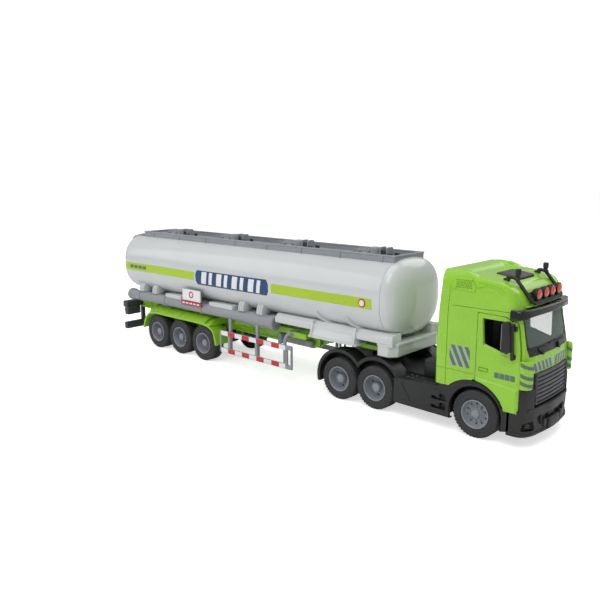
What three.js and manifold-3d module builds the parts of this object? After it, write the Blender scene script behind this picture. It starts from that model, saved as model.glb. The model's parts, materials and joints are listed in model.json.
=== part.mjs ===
// Friction toy truck: a cab-over tractor with a tank semi-trailer.
// Millimetres. +X is the front of the truck, +Y its left side, +Z up, and the ground is Z = 0.
// The origin is on the ground, at the middle of the overall length and width.

import * as THREE from 'three';
import { mergeVertices } from 'three/addons/utils/BufferGeometryUtils.js';
import Module from 'manifold-3d';

const wasm = await Module();
wasm.setup();

// ---------------------------------------------------------------- driving dimensions

const HALF_LENGTH = 241; // front bumper to rear lamp bracket is 482
const BODY_SIDE = 38; // half the width of cab and tank
const WALL = 2.2; // moulded wall thickness
const GAP = 0.35; // air between neighbouring pieces

const WHEEL_RADIUS = 17.5;
const TYRE_WIDTH = 13;
const WHEEL_CENTRE_Y = 31;
const RIM_RADIUS = 11.5;
const SHAFT_RADIUS = 1.45;
const BEARING_RADIUS = 1.6;
const STEER_AXLE_X = 200;
const REAR_AXLE_X = [77, 113]; // the second one is driven
const TRAILER_AXLE_X = [-171.8, -134.4, -97];

const KINGPIN_X = 100;
const KINGPIN_RADIUS = 3;
const COUPLING_Z = 42.8; // underside of the trailer's neck

const SKIRT_BOTTOM = 11;
const DECK_TOP = 33;
const CAB_BOTTOM = 34.5;
const CAB_REAR_X = 169;
const FRONT_ARCH = { x: 197, z: 16, radius: 26 };
const FENDER_RADIUS = 24.5;
const FENDER_THICKNESS = 2.5;
const FENDER_SIDE = 36;

const DOOR = { rear: 199.6, front: 231.2, top: 90.5, hingeGap: 0.8 };
const SOUND_BOX = { rear: 148, front: 165, halfWidth: 22, top: 45 };
const BUTTON = { x: 156.5, y: 8, radius: 3, top: 47.5 };
const LAMP = { y: [-16.8, -5.3, 5.3, 16.8], z: 105.1, back: 230, front: 233.6 };
const BEACON = { x: 217.8, y: 22.2, top: 120.4 };
const LIGHT_TUBE_RADIUS = 1.2;

const GEAR_MODULE = 0.6;
const GEAR_TEETH = 20;
const PINION_TEETH = 8;

const TANK = { rear: -238.5, front: 131, z: 87, halfHeight: 31.5, shoulder: 11 };
const TANK_POWER = 2.5; // how square the tank's oval section is
const FRAME_SIDE = 14;
const FRAME_TOP = 45;
const BASE_TOP = 56;
const HOSE_TUBE = { y: 31.8, z: 52.5, radius: 6.2, rear: -216, front: 0 };
const GUARD = { rear: -70.5, front: 24.5, bottom: 14, top: 35.5, rail: 5 };
const LEG_PIVOT = { x: 32, z: 36.3 };
const MANHOLE_PITCH = 86;
const FIRST_MANHOLE_X = 77;

// ---------------------------------------------------------------- finishes

const plastic = (color, roughness) => new THREE.MeshStandardMaterial({ color, roughness, metalness: 0 });
const lime = () => plastic(0x8fd01f, 0.28);
const black = () => plastic(0x1d1e20, 0.5);
const darkGrey = () => plastic(0x3b3d42, 0.5);
const grey = () => plastic(0x8b8f96, 0.45);
const white = () => plastic(0xe4e7e8, 0.25);
const rimGrey = () => plastic(0x7d8794, 0.4);
const tyreRubber = () => plastic(0x3a3b3d, 0.8);
const clearScreen = () => new THREE.MeshStandardMaterial({
  color: 0xe8f0f0,
  roughness: 0.08,
  metalness: 0,
  transparent: true,
  opacity: 0.3,
});
const lampRed = () => plastic(0xd8432c, 0.2);
const steel = () => new THREE.MeshStandardMaterial({ color: 0xb9bcc0, roughness: 0.3, metalness: 1 });

// ---------------------------------------------------------------- solids

// Turns a closed geometry into a solid that can be joined and cut.
function solid(geometry) {
  geometry.deleteAttribute('normal');
  geometry.deleteAttribute('uv');
  const merged = mergeVertices(geometry, 1e-4);
  const index = merged.index.array;
  const corners = merged.attributes.position;
  const triangles = [];
  const [a, b, c] = [new THREE.Vector3(), new THREE.Vector3(), new THREE.Vector3()];
  let volume = 0;
  for (let i = 0; i < index.length; i += 3) {
    const [p, q, r] = [index[i], index[i + 1], index[i + 2]];
    if (p === q || q === r || r === p) continue;
    triangles.push(p, q, r);
    a.fromBufferAttribute(corners, p);
    b.fromBufferAttribute(corners, q);
    c.fromBufferAttribute(corners, r);
    volume += a.dot(b.cross(c));
  }
  if (volume < 0) triangles.reverse();
  return new wasm.Manifold(new wasm.Mesh({
    numProp: 3,
    vertProperties: new Float32Array(corners.array),
    triVerts: new Uint32Array(triangles),
  }));
}

const join = (first, ...others) => others.reduce((sum, next) => sum.add(next), first);
const cut = (first, ...tools) => tools.reduce((rest, tool) => rest.subtract(tool), first);
const common = (first, ...others) => others.reduce((rest, next) => rest.intersect(next), first);

const box = (x0, x1, y0, y1, z0, z1) => solid(
  new THREE.BoxGeometry(x1 - x0, y1 - y0, z1 - z0).translate((x0 + x1) / 2, (y0 + y1) / 2, (z0 + z1) / 2),
);

// The same box on one side of the truck: side is 1 for left and -1 for right.
const sideBox = (side, x0, x1, y0, y1, z0, z1) => (
  side > 0 ? box(x0, x1, y0, y1, z0, z1) : box(x0, x1, -y1, -y0, z0, z1)
);

const outline = (points) => new THREE.Shape(points.map(([u, v]) => new THREE.Vector2(u, v)));
const extruded = (shape, depth) => new THREE.ExtrudeGeometry(shape, { depth, bevelEnabled: false });

// An outline drawn in side view (x, z) and given a thickness across the truck.
const sidePlate = (shape, y0, y1) => solid(extruded(shape, y1 - y0).rotateX(Math.PI / 2).translate(0, y1, 0));

// An outline drawn from above (x, y) and given a height.
const planPlate = (shape, z0, z1) => solid(extruded(shape, z1 - z0).translate(0, 0, z0));

// Turns an extrusion's own axes so that its outline lies in front view (y, z) and its depth runs along x.
const FRONT_VIEW = new THREE.Matrix4().makeBasis(
  new THREE.Vector3(0, 1, 0),
  new THREE.Vector3(0, 0, 1),
  new THREE.Vector3(1, 0, 0),
);

// An outline drawn in front view (y, z) and given a length.
const frontPlate = (shape, x0, x1) => solid(
  extruded(shape, x1 - x0).applyMatrix4(FRONT_VIEW).translate(x0, 0, 0),
);

const cylinder = (radius, length, segments) => new THREE.CylinderGeometry(radius, radius, length, segments);
const rodX = (radius, x0, x1, y, z, segments = 16) => solid(
  cylinder(radius, x1 - x0, segments).rotateZ(Math.PI / 2).translate((x0 + x1) / 2, y, z),
);
const rodY = (radius, y0, y1, x, z, segments = 16) => solid(
  cylinder(radius, y1 - y0, segments).translate(x, (y0 + y1) / 2, z),
);
const rodZ = (radius, z0, z1, x, y, segments = 16) => solid(
  cylinder(radius, z1 - z0, segments).rotateX(Math.PI / 2).translate(x, y, (z0 + z1) / 2),
);

// A round bar through the given points, with a ball at each bend.
function bentBar(radius, points, segments = 8) {
  const parts = [];
  for (let i = 0; i + 1 < points.length; i += 1) {
    const from = new THREE.Vector3(...points[i]);
    const to = new THREE.Vector3(...points[i + 1]);
    const along = to.clone().sub(from);
    const turn = new THREE.Quaternion();
    turn.setFromUnitVectors(new THREE.Vector3(0, 1, 0), along.clone().normalize());
    const middle = from.clone().add(to).multiplyScalar(0.5);
    const bar = cylinder(radius, along.length(), segments).applyQuaternion(turn);
    parts.push(solid(bar.translate(middle.x, middle.y, middle.z)));
    if (i > 0) parts.push(solid(new THREE.SphereGeometry(radius, segments, 6).translate(...points[i])));
  }
  return join(...parts);
}

// A closed solid of revolution about the Y axis, from a profile of [radius, y] points.
const turned = (profile, segments) => solid(
  new THREE.LatheGeometry(profile.map(([r, y]) => new THREE.Vector2(r, y)), segments),
);

function piece(name, shape, material) {
  const mesh = shape.getMesh();
  const geometry = new THREE.BufferGeometry();
  geometry.setAttribute('position', new THREE.BufferAttribute(new Float32Array(mesh.vertProperties), 3));
  geometry.setIndex(new THREE.BufferAttribute(new Uint32Array(mesh.triVerts), 1));
  const result = new THREE.Mesh(geometry, material);
  result.name = name;
  return result;
}

const sideName = (side) => (side > 0 ? 'left' : 'right');

// Points along an arc in degrees, counter-clockwise from the first axis of the view.
function arc(u, v, radius, from, to, steps) {
  return Array.from({ length: steps + 1 }, (_, i) => {
    const angle = THREE.MathUtils.degToRad(from + ((to - from) * i) / steps);
    return [u + radius * Math.cos(angle), v + radius * Math.sin(angle)];
  });
}

const mirrored = (points) => [...points, ...points.map(([u, v]) => [u, -v]).reverse()];
const mirroredFront = (points) => [...points, ...points.map(([y, z]) => [-y, z]).reverse()];

// ---------------------------------------------------------------- wheels and axles

// The tyre has flat facets, one of them straight down, so that the truck stands firmly.
function tyre(side) {
  const segments = 16;
  const tread = WHEEL_RADIUS / Math.cos(Math.PI / segments);
  const bead = RIM_RADIUS + GAP;
  const half = TYRE_WIDTH / 2;
  const profile = [
    [bead, -half], [tread - 1.2, -half], [tread, -half + 1.4],
    [tread, half - 1.4], [tread - 1.2, half], [bead, half], [bead, -half],
  ];
  const mesh = piece(`tyre_${side}`, turned(profile, segments), tyreRubber());
  mesh.rotation.y = Math.PI / segments;
  return mesh;
}

// Deep-dish rim with a blind hub that is pressed on the axle. A steer rim's hub stands further out.
function rim(side, isSteer) {
  const web = isSteer ? 2.4 : -0.6;
  const hubEnd = isSteer ? 6 : 4.6;
  const half = TYRE_WIDTH / 2 - GAP;
  const profile = [
    [0, 3.4], [SHAFT_RADIUS + 0.05, 3.4], [SHAFT_RADIUS + 0.05, web - 1.6], [10, web - 1.6],
    [10, -half], [RIM_RADIUS, -half], [RIM_RADIUS, half], [10.2, half],
    [9.6, web + 1.2], [4, web + 1.2], [4, hubEnd], [0, hubEnd],
  ];
  const mesh = piece(`rim_${side}`, turned(profile, 12), rimGrey());
  if (side < 0) mesh.rotation.x = Math.PI;
  return mesh;
}

function wheelset(name, x, isSteer) {
  const group = new THREE.Group();
  const reach = WHEEL_CENTRE_Y + 3.1;
  group.add(piece(`${name}_axle`, rodY(SHAFT_RADIUS, -reach, reach, 0, 0, 12), steel()));
  for (const side of [1, -1]) {
    for (const part of [tyre(side), rim(side, isSteer)]) {
      part.name = `${name}_${part.name.split('_')[0]}_${sideName(side)}`;
      part.position.y = side * WHEEL_CENTRE_Y;
      group.add(part);
    }
  }
  group.position.set(x, 0, WHEEL_RADIUS);
  return group;
}

// ---------------------------------------------------------------- friction drive

// A spur gear with straight-sided teeth and generous backlash, centred on the Y axis.
function gear(teeth, y0, y1, phase) {
  const pitch = (GEAR_MODULE * teeth) / 2;
  const step = (2 * Math.PI) / teeth;
  const root = pitch - 1.25 * GEAR_MODULE;
  const tip = pitch + 0.67 * GEAR_MODULE;
  const points = [];
  for (let i = 0; i < teeth; i += 1) {
    const middle = phase + i * step;
    for (const [radius, part] of [[root, -0.3], [tip, -0.1], [tip, 0.1], [root, 0.3]]) {
      const angle = middle + part * step;
      points.push([radius * Math.cos(angle), radius * Math.sin(angle)]);
    }
  }
  return sidePlate(outline(points), y0, y1);
}

const flywheelX = () => REAR_AXLE_X[1] - (GEAR_MODULE * (GEAR_TEETH + PINION_TEETH)) / 2;

function driveGear() {
  const hole = rodY(SHAFT_RADIUS + 0.05, 0, 5, 0, 0, 12);
  const mesh = piece('drive_gear', cut(gear(GEAR_TEETH, 1, 4, Math.PI), hole), white());
  mesh.position.set(REAR_AXLE_X[1], 0, WHEEL_RADIUS);
  return mesh;
}

function flywheel() {
  const pinion = gear(PINION_TEETH, 0.5, 4.5, Math.PI / PINION_TEETH);
  const disc = rodY(5.6, -6, 0.5, 0, 0, 24);
  const pivots = rodY(1, -8.6, 8.6, 0, 0, 12);
  const mesh = piece('flywheel', join(pinion, disc, pivots), steel());
  mesh.position.set(flywheelX(), 0, WHEEL_RADIUS);
  return mesh;
}

function motorCase() {
  const [rear, front] = [flywheelX() - 8.5, REAR_AXLE_X[1] + 8.5];
  const shell = cut(
    box(rear, front, -10, 10, 10.3, 27),
    box(rear + 1.4, front - 1.4, -8, 8, 10.7, 28),
    rodY(BEARING_RADIUS, -11, 11, REAR_AXLE_X[1], WHEEL_RADIUS, 12),
    rodY(1.15, -9.2, 9.2, flywheelX(), WHEEL_RADIUS, 12),
  );
  return piece('motor_case', shell, white());
}

// ---------------------------------------------------------------- tractor underside

function tractorChassis() {
  let plate = box(58, 228, -19.5, 19.5, 8, 10);
  for (const x of [...REAR_AXLE_X, STEER_AXLE_X]) {
    for (const side of [1, -1]) {
      plate = join(plate, sideBox(side, x - 4, x + 4, 14, 17, 9.5, 22));
    }
    plate = cut(plate, rodY(BEARING_RADIUS, -20, 20, x, WHEEL_RADIUS, 12));
  }
  plate = cut(plate, box(150 - GAP, 174 + GAP, -9 - GAP, 9 + GAP, 7, 11));
  return piece('tractor_chassis', plate, black());
}

const batteryCover = () => piece('battery_cover', box(150, 174, -9, 9, 8, 9.8), black());
const buttonCells = () => piece('button_cells', rodY(5.8, -8.1, 8.1, 162, 17, 20), steel());

function soundModule() {
  const board = box(150, 163, -18, 18, 34, 36);
  const speaker = rodZ(6, 36, 39.5, 156.5, -10);
  const chips = box(152, 161, 0, 14, 36, 40.4);
  return piece('sound_module', join(board, speaker, chips, box(152, 161, -5, 1, 36, 38)), lampRed());
}

// ---------------------------------------------------------------- tractor lower body

// The side skirt, from the fenders to the bumper, with a half-round opening for the steer wheel.
function skirt(side) {
  const shape = outline([
    [131.4, SKIRT_BOTTOM], [STEER_AXLE_X - 19.5, SKIRT_BOTTOM],
    ...arc(STEER_AXLE_X, WHEEL_RADIUS, 20.6, 198, -18, 12),
    [STEER_AXLE_X + 19.5, SKIRT_BOTTOM], [234, SKIRT_BOTTOM + 0.8], [234, 27 - GAP], [218.4, 28 - GAP],
    ...arc(FRONT_ARCH.x, FRONT_ARCH.z, FRONT_ARCH.radius - GAP, 28, 134, 8),
    [CAB_REAR_X + 3, CAB_BOTTOM - GAP], [CAB_REAR_X, 32], [131.4, 30.5],
  ]);
  const [y0, y1] = side > 0 ? [BODY_SIDE - 4, BODY_SIDE] : [-BODY_SIDE, 4 - BODY_SIDE];
  const steps = [17, 23.5].map((z) => sideBox(side, 165, 177, BODY_SIDE - 2.5, BODY_SIDE + 1, z, z + 4));
  return cut(sidePlate(shape, y0, y1), ...steps);
}

// Two arches over the rear wheels, with an inner wall and a sloping front.
function fender(side) {
  const outer = [];
  const inner = [];
  for (const x of REAR_AXLE_X) {
    outer.push(solid(cylinder(FENDER_RADIUS, 15, 24).translate(x, side * (FENDER_SIDE - 7.5), WHEEL_RADIUS)));
    inner.push(solid(cylinder(FENDER_RADIUS - FENDER_THICKNESS, 15, 24)
      .translate(x, side * (FENDER_SIDE - 6), WHEEL_RADIUS)));
  }
  const front = outline([[120, 12], [133.6, 12], [133.6, 30.5], [129, 36], [120, 38]]);
  const [y0, y1] = side > 0 ? [21, FENDER_SIDE] : [-FENDER_SIDE, -21];
  const arches = cut(join(...outer, sidePlate(front, y0, y1)), ...inner);
  const upper = box(40, 134, -40, 40, 12, 60);
  const holes = REAR_AXLE_X.map((x) => rodY(BEARING_RADIUS + 1, -40, 40, x, WHEEL_RADIUS, 12));
  return cut(common(arches, upper), ...holes);
}

// The wrap-round bumper, open behind and open above for the grille and the corner panels.
function bumper() {
  const outer = mirrored([
    [225, BODY_SIDE], [231.5, BODY_SIDE], [235.5, 34], [238, 27], [240, 14], [HALF_LENGTH, 6],
  ]);
  return cut(
    planPlate(outline(outer), SKIRT_BOTTOM + 0.8, 43 - GAP),
    box(220, 234, -BODY_SIDE + 4, BODY_SIDE - 4, 0, 50),
    box(234, 250, -27.2, 27.2, 29.3, 50),
    box(220, 232.2, -50, 50, 27 - GAP, 50),
  );
}

// Floor behind the cab, with the turntable, the sound box, screw bosses and the kingpin's hole.
function deck() {
  const floor = box(56, 228, -21.6, 21.6, 30, DECK_TOP);
  const turntable = rodZ(13, 31, COUPLING_Z - 0.8, KINGPIN_X, 0, 24);
  const { rear, front, halfWidth, top } = SOUND_BOX;
  const hump = cut(
    box(rear, front, -halfWidth, halfWidth, 31, top),
    box(rear + 1.4, front - 1.4, 1.4 - halfWidth, halfWidth - 1.4, 30, top - 1.4),
    ...[1, -1].map((side) => rodZ(BUTTON.radius + 0.3, 40, 50, BUTTON.x, side * BUTTON.y)),
  );
  const bosses = [62, 136, 186, 220].map((x) => rodZ(3, 10, 31, x, 0, 12));
  return cut(
    join(floor, turntable, hump, ...bosses),
    box(rear + 1.4, front - 1.4, 1.4 - halfWidth, halfWidth - 1.4, 29, top - 1.4),
    rodZ(KINGPIN_RADIUS + 0.4, 20, 50, KINGPIN_X, 0, 20),
  );
}

// The deck joined to bumper, skirts and fenders: one black moulding.
function lowerBody() {
  const links = [1, -1].flatMap((side) => [
    sideBox(side, 134, 178, 20, BODY_SIDE - 1, 28, 30.5),
    sideBox(side, 131.4, 134, 20, BODY_SIDE - 1, 12, 30.5),
    sideBox(side, 222.5, 235.5, 20, 36, 14, 26),
    skirt(side),
    fender(side),
  ]);
  const nose = join(box(222.5, 236, -21, 21, 26, 29.2), box(222.5, 228, -21, 21, 26, 32));
  return piece('tractor_lower_body', join(deck(), bumper(), nose, ...links), black());
}

// ---------------------------------------------------------------- cab

const CAB_PROFILE = [
  [CAB_REAR_X, CAB_BOTTOM], [171, 115.6], [184, 116.2], [200, 114.8], [216, 112.8], [223, 110.2],
  [227.5, 105.7], [230.6, 99.6], [231.8, 95], [235, 62.7], [237.4, 55], [238, 43], [238, CAB_BOTTOM],
];
const CAB_PLAN = [
  [CAB_REAR_X - 1, BODY_SIDE], [230, BODY_SIDE], [233.6, 36.4], [236.8, 28.5], [238.4, 15], [239, 6],
];
const CAB_FRONT = [
  [BODY_SIDE, 27], [BODY_SIDE, 92], [BODY_SIDE - 0.8, 100], [BODY_SIDE - 2, 106],
  [BODY_SIDE - 4.5, 112], [BODY_SIDE - 8, 115], [BODY_SIDE - 13, 116.5], [6, 117],
];

// The cab's outer form drawn in by the given margin.
function cabForm(margin) {
  const middle = [205, 70];
  const shrink = ([u, v], [cu, cv]) => [u - Math.sign(u - cu) * margin, v - Math.sign(v - cv) * margin];
  const profile = CAB_PROFILE.map((point) => shrink(point, middle));
  const plan = CAB_PLAN.map((point) => shrink(point, [middle[0], 0]));
  const front = CAB_FRONT.map((point) => shrink(point, [0, middle[1]]));
  return common(
    sidePlate(outline(profile), -60, 60),
    planPlate(outline(mirrored(plan)), 20, 130),
    frontPlate(outline(mirroredFront(front)), 150, 260),
  );
}

// The door's outline in side view, drawn larger by grow. Its lower rear edge follows the wheel arch.
function doorOutline(grow, frontGrow) {
  const { rear, front, top } = DOOR;
  return outline([
    [rear - grow, 42.5 - grow],
    ...arc(FRONT_ARCH.x, FRONT_ARCH.z, FRONT_ARCH.radius + GAP - grow, 78, 28, 5),
    [front + frontGrow, 27.2 - grow], [front + frontGrow, top + grow], [rear - grow, top + grow],
  ]);
}

const windscreenOutline = (grow) => outline(mirroredFront([
  [29.4 + grow, 63 - grow], [31 + grow, 71], [29 + grow, 94.6 + grow],
]));

// The hatch lies in the sloping roof. Grown, its outline reaches up through the roof to cut the opening.
const hatchProfile = (grow) => outline([
  [198 - grow, 113.4 - grow], [216 + grow, 111.2 - grow],
  [216 + grow, 113.3 + 9 * grow], [198 - grow, 115.5 + 9 * grow],
]);

function cabShell() {
  let shell = cut(cabForm(0), cabForm(WALL));
  const ridge = outline([[171, 112], [171.4, 116.6], [181, 118.6], [186, 117.6], [191, 113]]);
  shell = join(shell, ...[1, -1].map((side) => sidePlate(ridge, side > 0 ? 14 : -23, side > 0 ? 23 : -14)));
  return piece('cab_shell', cut(
    shell,
    frontPlate(windscreenOutline(0), 228, 245),
    sidePlate(doorOutline(GAP, DOOR.hingeGap), -60, -BODY_SIDE + 6),
    sidePlate(doorOutline(GAP, DOOR.hingeGap), BODY_SIDE - 6, 60),
    rodY(FRONT_ARCH.radius, -60, 60, FRONT_ARCH.x, FRONT_ARCH.z, 40),
    box(197, 260, -60, 60, 20, 43),
    box(CAB_REAR_X + WALL, 232, WALL - BODY_SIDE, BODY_SIDE - WALL, 20, 44),
    box(229, 260, -27.4, 27.4, 40, 52.7),
    sidePlate(hatchProfile(GAP), -13 - GAP, 13 + GAP),
  ), lime());
}

function door(side) {
  const [y0, y1] = side > 0 ? [BODY_SIDE - WALL, BODY_SIDE] : [-BODY_SIDE, WALL - BODY_SIDE];
  const window = outline([[203.3, 87.2], [204.9, 68.9], [221.6, 64], [221.6, 87.6]]);
  const panel = cut(
    sidePlate(doorOutline(0, 0), y0, y1),
    sidePlate(window, y0 - 1, y1 + 1),
    sideBox(side, 203.5, 210, BODY_SIDE - 0.8, BODY_SIDE + 1, 50, 54),
  );
  return piece(`door_${sideName(side)}`, panel, lime());
}

function mirror(side) {
  const housing = sideBox(side, 223.2, 228.2, 39.6, 44, 63, 89.8);
  const brackets = [65, 85].map((z) => sideBox(side, 225, 227.5, BODY_SIDE + 0.15, 40.5, z, z + 3));
  return piece(`mirror_${sideName(side)}`, join(housing, ...brackets), black());
}

function windscreen() {
  const slab = outline([[232.6, 60], [229.6, 98], [231.4, 98], [234.6, 60]]);
  return piece('windscreen', common(
    sidePlate(slab, -40, 40),
    frontPlate(windscreenOutline(-GAP), 220, 245),
  ), clearScreen());
}

function cabInterior() {
  const floor = box(174, 227, -33, 33, 45, 47);
  const feet = [1, -1].map((side) => sideBox(side, 176, 226, 17, 20, DECK_TOP, 46));
  const seats = [1, -1].flatMap((side) => [
    sideBox(side, 186, 202, 9, 29, 46, 58),
    sideBox(side, 182, 188, 9, 29, 46, 84),
  ]);
  const dash = sidePlate(outline([[216, 46], [228.8, 46], [228.8, 62], [222, 64.5], [216, 58]]), -31.5, 31.5);
  const column = bentBar(1.2, [[220, 18, 58], [212, 18, 67]]);
  const wheel = solid(new THREE.CylinderGeometry(7, 7, 1.6, 20).rotateX(Math.PI / 2).rotateY(-0.85)
    .translate(212, 18, 67));
  return piece('cab_interior', join(floor, dash, column, wheel, ...feet, ...seats), black());
}

// Slatted grille between the corner panels.
function grille() {
  const backing = box(234.6, 236.2, -26.6, 26.6, 29.7, 52.3);
  const slats = [];
  for (let i = 0; i < 7; i += 1) {
    const z = 29.7 + 3.4 * i;
    slats.push(box(235.5, 238.6, -26.6, 26.6, z, z + 2.2));
  }
  return piece('grille', join(backing, ...slats), darkGrey());
}

function sunVisor() {
  const outer = [[222.7, 40], [232.2, 39.8], [236, 35.2], [237, 25], [237.6, 12], [237.8, 4]];
  const inner = [
    [200, BODY_SIDE + GAP], [231.6, BODY_SIDE + GAP], [234.6, 34.5], [235.6, 24.5], [236.2, 12], [236.4, 4],
  ];
  const band = cut(
    planPlate(outline(mirrored(outer)), 91.4, 98),
    planPlate(outline(mirrored(inner)), 80, 110),
  );
  const brackets = [1, -1].map((side) => sideBox(side, 232.4, 236.2, 18, 22, 95.4, 97.6));
  return piece('sun_visor', join(band, ...brackets), black());
}

// Bent tube across the roof front, with four lamp housings and a beacon on each arm.
function lightBar() {
  const parts = [];
  for (const side of [1, -1]) {
    parts.push(bentBar(LIGHT_TUBE_RADIUS, [
      [208, side * 24, 115.8], [219, side * 22.5, 115], [227.5, side * 22.8, 110],
      [232.7, side * 23.3, 99.8], [232.7, 0, 99.8],
    ], 6));
    parts.push(rodZ(2.9, 114, 116.4, BEACON.x, side * BEACON.y, 12));
    parts.push(rodZ(2.1, 115, BEACON.top, BEACON.x, side * BEACON.y, 12));
  }
  for (const y of LAMP.y) {
    parts.push(rodX(3.7, LAMP.back, LAMP.back + 2, y, LAMP.z, 12));
    parts.push(box(LAMP.back + 1, LAMP.back + 2, y - 1.2, y + 1.2, 99.8, 103));
  }
  return piece('light_bar', join(...parts), black());
}

// The four lens caps are one moulding, joined by a thin strip along their lower edges.
function roofLampLenses() {
  const caps = LAMP.y.map((y) => rodX(3.1, LAMP.back + 2.2, LAMP.front, y, LAMP.z, 12));
  const strip = box(LAMP.front - 1, LAMP.front - 0.2, -17.5, 17.5, 101.6, 102.8);
  return piece('roof_lamp_lenses', join(strip, ...caps), lampRed());
}

const roofHatch = () => piece('roof_hatch', sidePlate(hatchProfile(0), -13, 13), darkGrey());

function pushButton(name, side) {
  const shape = join(
    rodZ(BUTTON.radius, 42.4, BUTTON.top, BUTTON.x, side * BUTTON.y),
    rodZ(BUTTON.radius + 1.2, 42, 43.2, BUTTON.x, side * BUTTON.y),
  );
  return piece(name, shape, darkGrey());
}

// ---------------------------------------------------------------- trailer

// Closed frame rails under the tank, raised at the front to pass over the tractor.
function frameRails() {
  const profile = outline([
    [-231, 34], [-70, 31], [30, 31], [46, 38], [56, COUPLING_Z], [118, COUPLING_Z],
    [118, FRAME_TOP], [-231, FRAME_TOP],
  ]);
  const hollow = box(-240, 30, 3 - FRAME_SIDE, FRAME_SIDE - 3, 20, FRAME_TOP - 2);
  const crossings = [-228, -115, -20, 10].map((x) => box(x, x + 3, -13, 13, 34.5, FRAME_TOP - 1));
  let rails = join(cut(sidePlate(profile, -FRAME_SIDE, FRAME_SIDE), hollow), ...crossings);
  for (const x of TRAILER_AXLE_X) {
    for (const side of [1, -1]) rails = join(rails, sideBox(side, x - 4, x + 4, 11, FRAME_SIDE, 13, 36));
    rails = cut(rails, rodY(BEARING_RADIUS, -20, 20, x, WHEEL_RADIUS, 12));
  }
  return rails;
}

// One long arch over the three wheels of a side. Its skin is the outline less the same one drawn in by drop.
function mudguard(side) {
  const top = WHEEL_RADIUS * 2 + 3.5;
  const [rear, front] = [TRAILER_AXLE_X[0], TRAILER_AXLE_X[2]];
  const shape = (drop, reach) => outline([
    [rear - 25 + drop, reach], [rear - 21 + drop, 30], [rear - 14, top - 2 - drop], [rear - 4, top - drop],
    [front - 4, top - drop], [front + 8, top - 1.2 - drop],
    [front + 17.5 - drop, 31.5], [front + 21 - drop, reach],
  ]);
  const [y0, y1] = side > 0 ? [21, BODY_SIDE] : [-BODY_SIDE, -21];
  const skin = cut(sidePlate(shape(0, 19), y0, y1), sidePlate(shape(2.3, 18), -60, 60));
  return join(skin, sideBox(side, rear, front, FRAME_SIDE - 1, 22, top - 2.3, top));
}

function trailerFrame() {
  const kingpin = rodZ(KINGPIN_RADIUS, 35, COUPLING_Z + 1, KINGPIN_X, 0, 20);
  const legBoxes = [1, -1].map((side) => (
    sideBox(side, LEG_PIVOT.x - 3.5, LEG_PIVOT.x + 3.5, FRAME_SIDE - 1, 18.4, 33, 44)
  ));
  const whole = join(frameRails(), mudguard(1), mudguard(-1), kingpin, ...legBoxes);
  return piece('trailer_frame', cut(
    whole,
    rodY(1.8, -20, 20, LEG_PIVOT.x, LEG_PIVOT.z, 12),
  ), lime());
}

// Stowed, the legs lie back along the frame. They turn together on one cross shaft.
function landingLegs() {
  const { x, z } = LEG_PIVOT;
  const shaft = rodY(1.6, -23, 23, x, z, 12);
  const legs = [1, -1].flatMap((side) => [
    sideBox(side, x - 33, x + 2.5, 19, 23, z - 2.5, z + 2.5),
    sideBox(side, x - 35.5, x - 33 + 0.2, 18, 26, z - 4.5, z + 4.5),
  ]);
  return piece('landing_legs', join(shaft, ...legs), grey());
}

// Oval section of the tank, a superellipse drawn in by the given margin.
function tankSection(margin, segments = 32) {
  const points = [];
  for (let i = 0; i < segments; i += 1) {
    const angle = (2 * Math.PI * i) / segments;
    const [c, s] = [Math.cos(angle), Math.sin(angle)];
    points.push([
      (BODY_SIDE - margin) * Math.sign(c) * Math.abs(c) ** (2 / TANK_POWER),
      TANK.z + (TANK.halfHeight - margin) * Math.sign(s) * Math.abs(s) ** (2 / TANK_POWER),
    ]);
  }
  return outline(points);
}

function tankForm(margin) {
  const { rear, front, shoulder } = TANK;
  const geometry = new THREE.ExtrudeGeometry(tankSection(margin), {
    depth: front - rear - 2 * shoulder,
    bevelEnabled: true,
    bevelThickness: shoulder - margin,
    bevelSize: shoulder * 0.8,
    bevelOffset: -shoulder * 0.8,
    bevelSegments: 3,
  });
  return solid(geometry.applyMatrix4(FRONT_VIEW).translate(rear + shoulder, 0, 0));
}

const STRAP_X = [-205, -182, -47, -23];

function tankShell() {
  const recess = frontPlate(tankSection(13, 24), TANK.front - 1.6, TANK.front + 5);
  const straps = STRAP_X.flatMap((x) => [1, -1].map((side) => sideBox(side, x, x + 10, 26, 36.4, 59.3, 67)));
  const slot = box(-200, 100, -12, 12, 50, 62);
  return piece('tank_shell', cut(join(tankForm(0), ...straps), tankForm(2), recess, slot), white());
}

// White moulding under the tank: spine, floor, side beams with gussets and the front sill.
function tankBase() {
  const spine = cut(box(-226, 118, -11, 11, FRAME_TOP, BASE_TOP), box(-224, 116, -9, 9, 40, BASE_TOP - 2));
  const floor = box(-220, 118, -24.6, 24.6, BASE_TOP - 2, BASE_TOP);
  const sides = [1, -1].flatMap((side) => [
    sideBox(side, 1.5, 127, 22, 35, 54, 60),
    sideBox(side, 43, 92, 22, 37, 47.5, 49.5),
    ...[46, 88].map((x) => sideBox(side, x, x + 2, 22, 36.5, 48, 59)),
    ...[60, 76].map((x) => sideBox(side, x, x + 1.4, 26, 34.5, 59, 66)),
  ]);
  const sill = planPlate(outline(mirrored([[113, 34.5], [123, 34.5], [128.5, 28.4]])), COUPLING_Z + 0.3, 60);
  const shape = cut(
    join(spine, floor, sill, ...sides),
    tankForm(-GAP),
    box(100, 118 + GAP, -FRAME_SIDE - GAP, FRAME_SIDE + GAP, 40, FRAME_TOP),
  );
  return piece('tank_base', shape, white());
}

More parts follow.
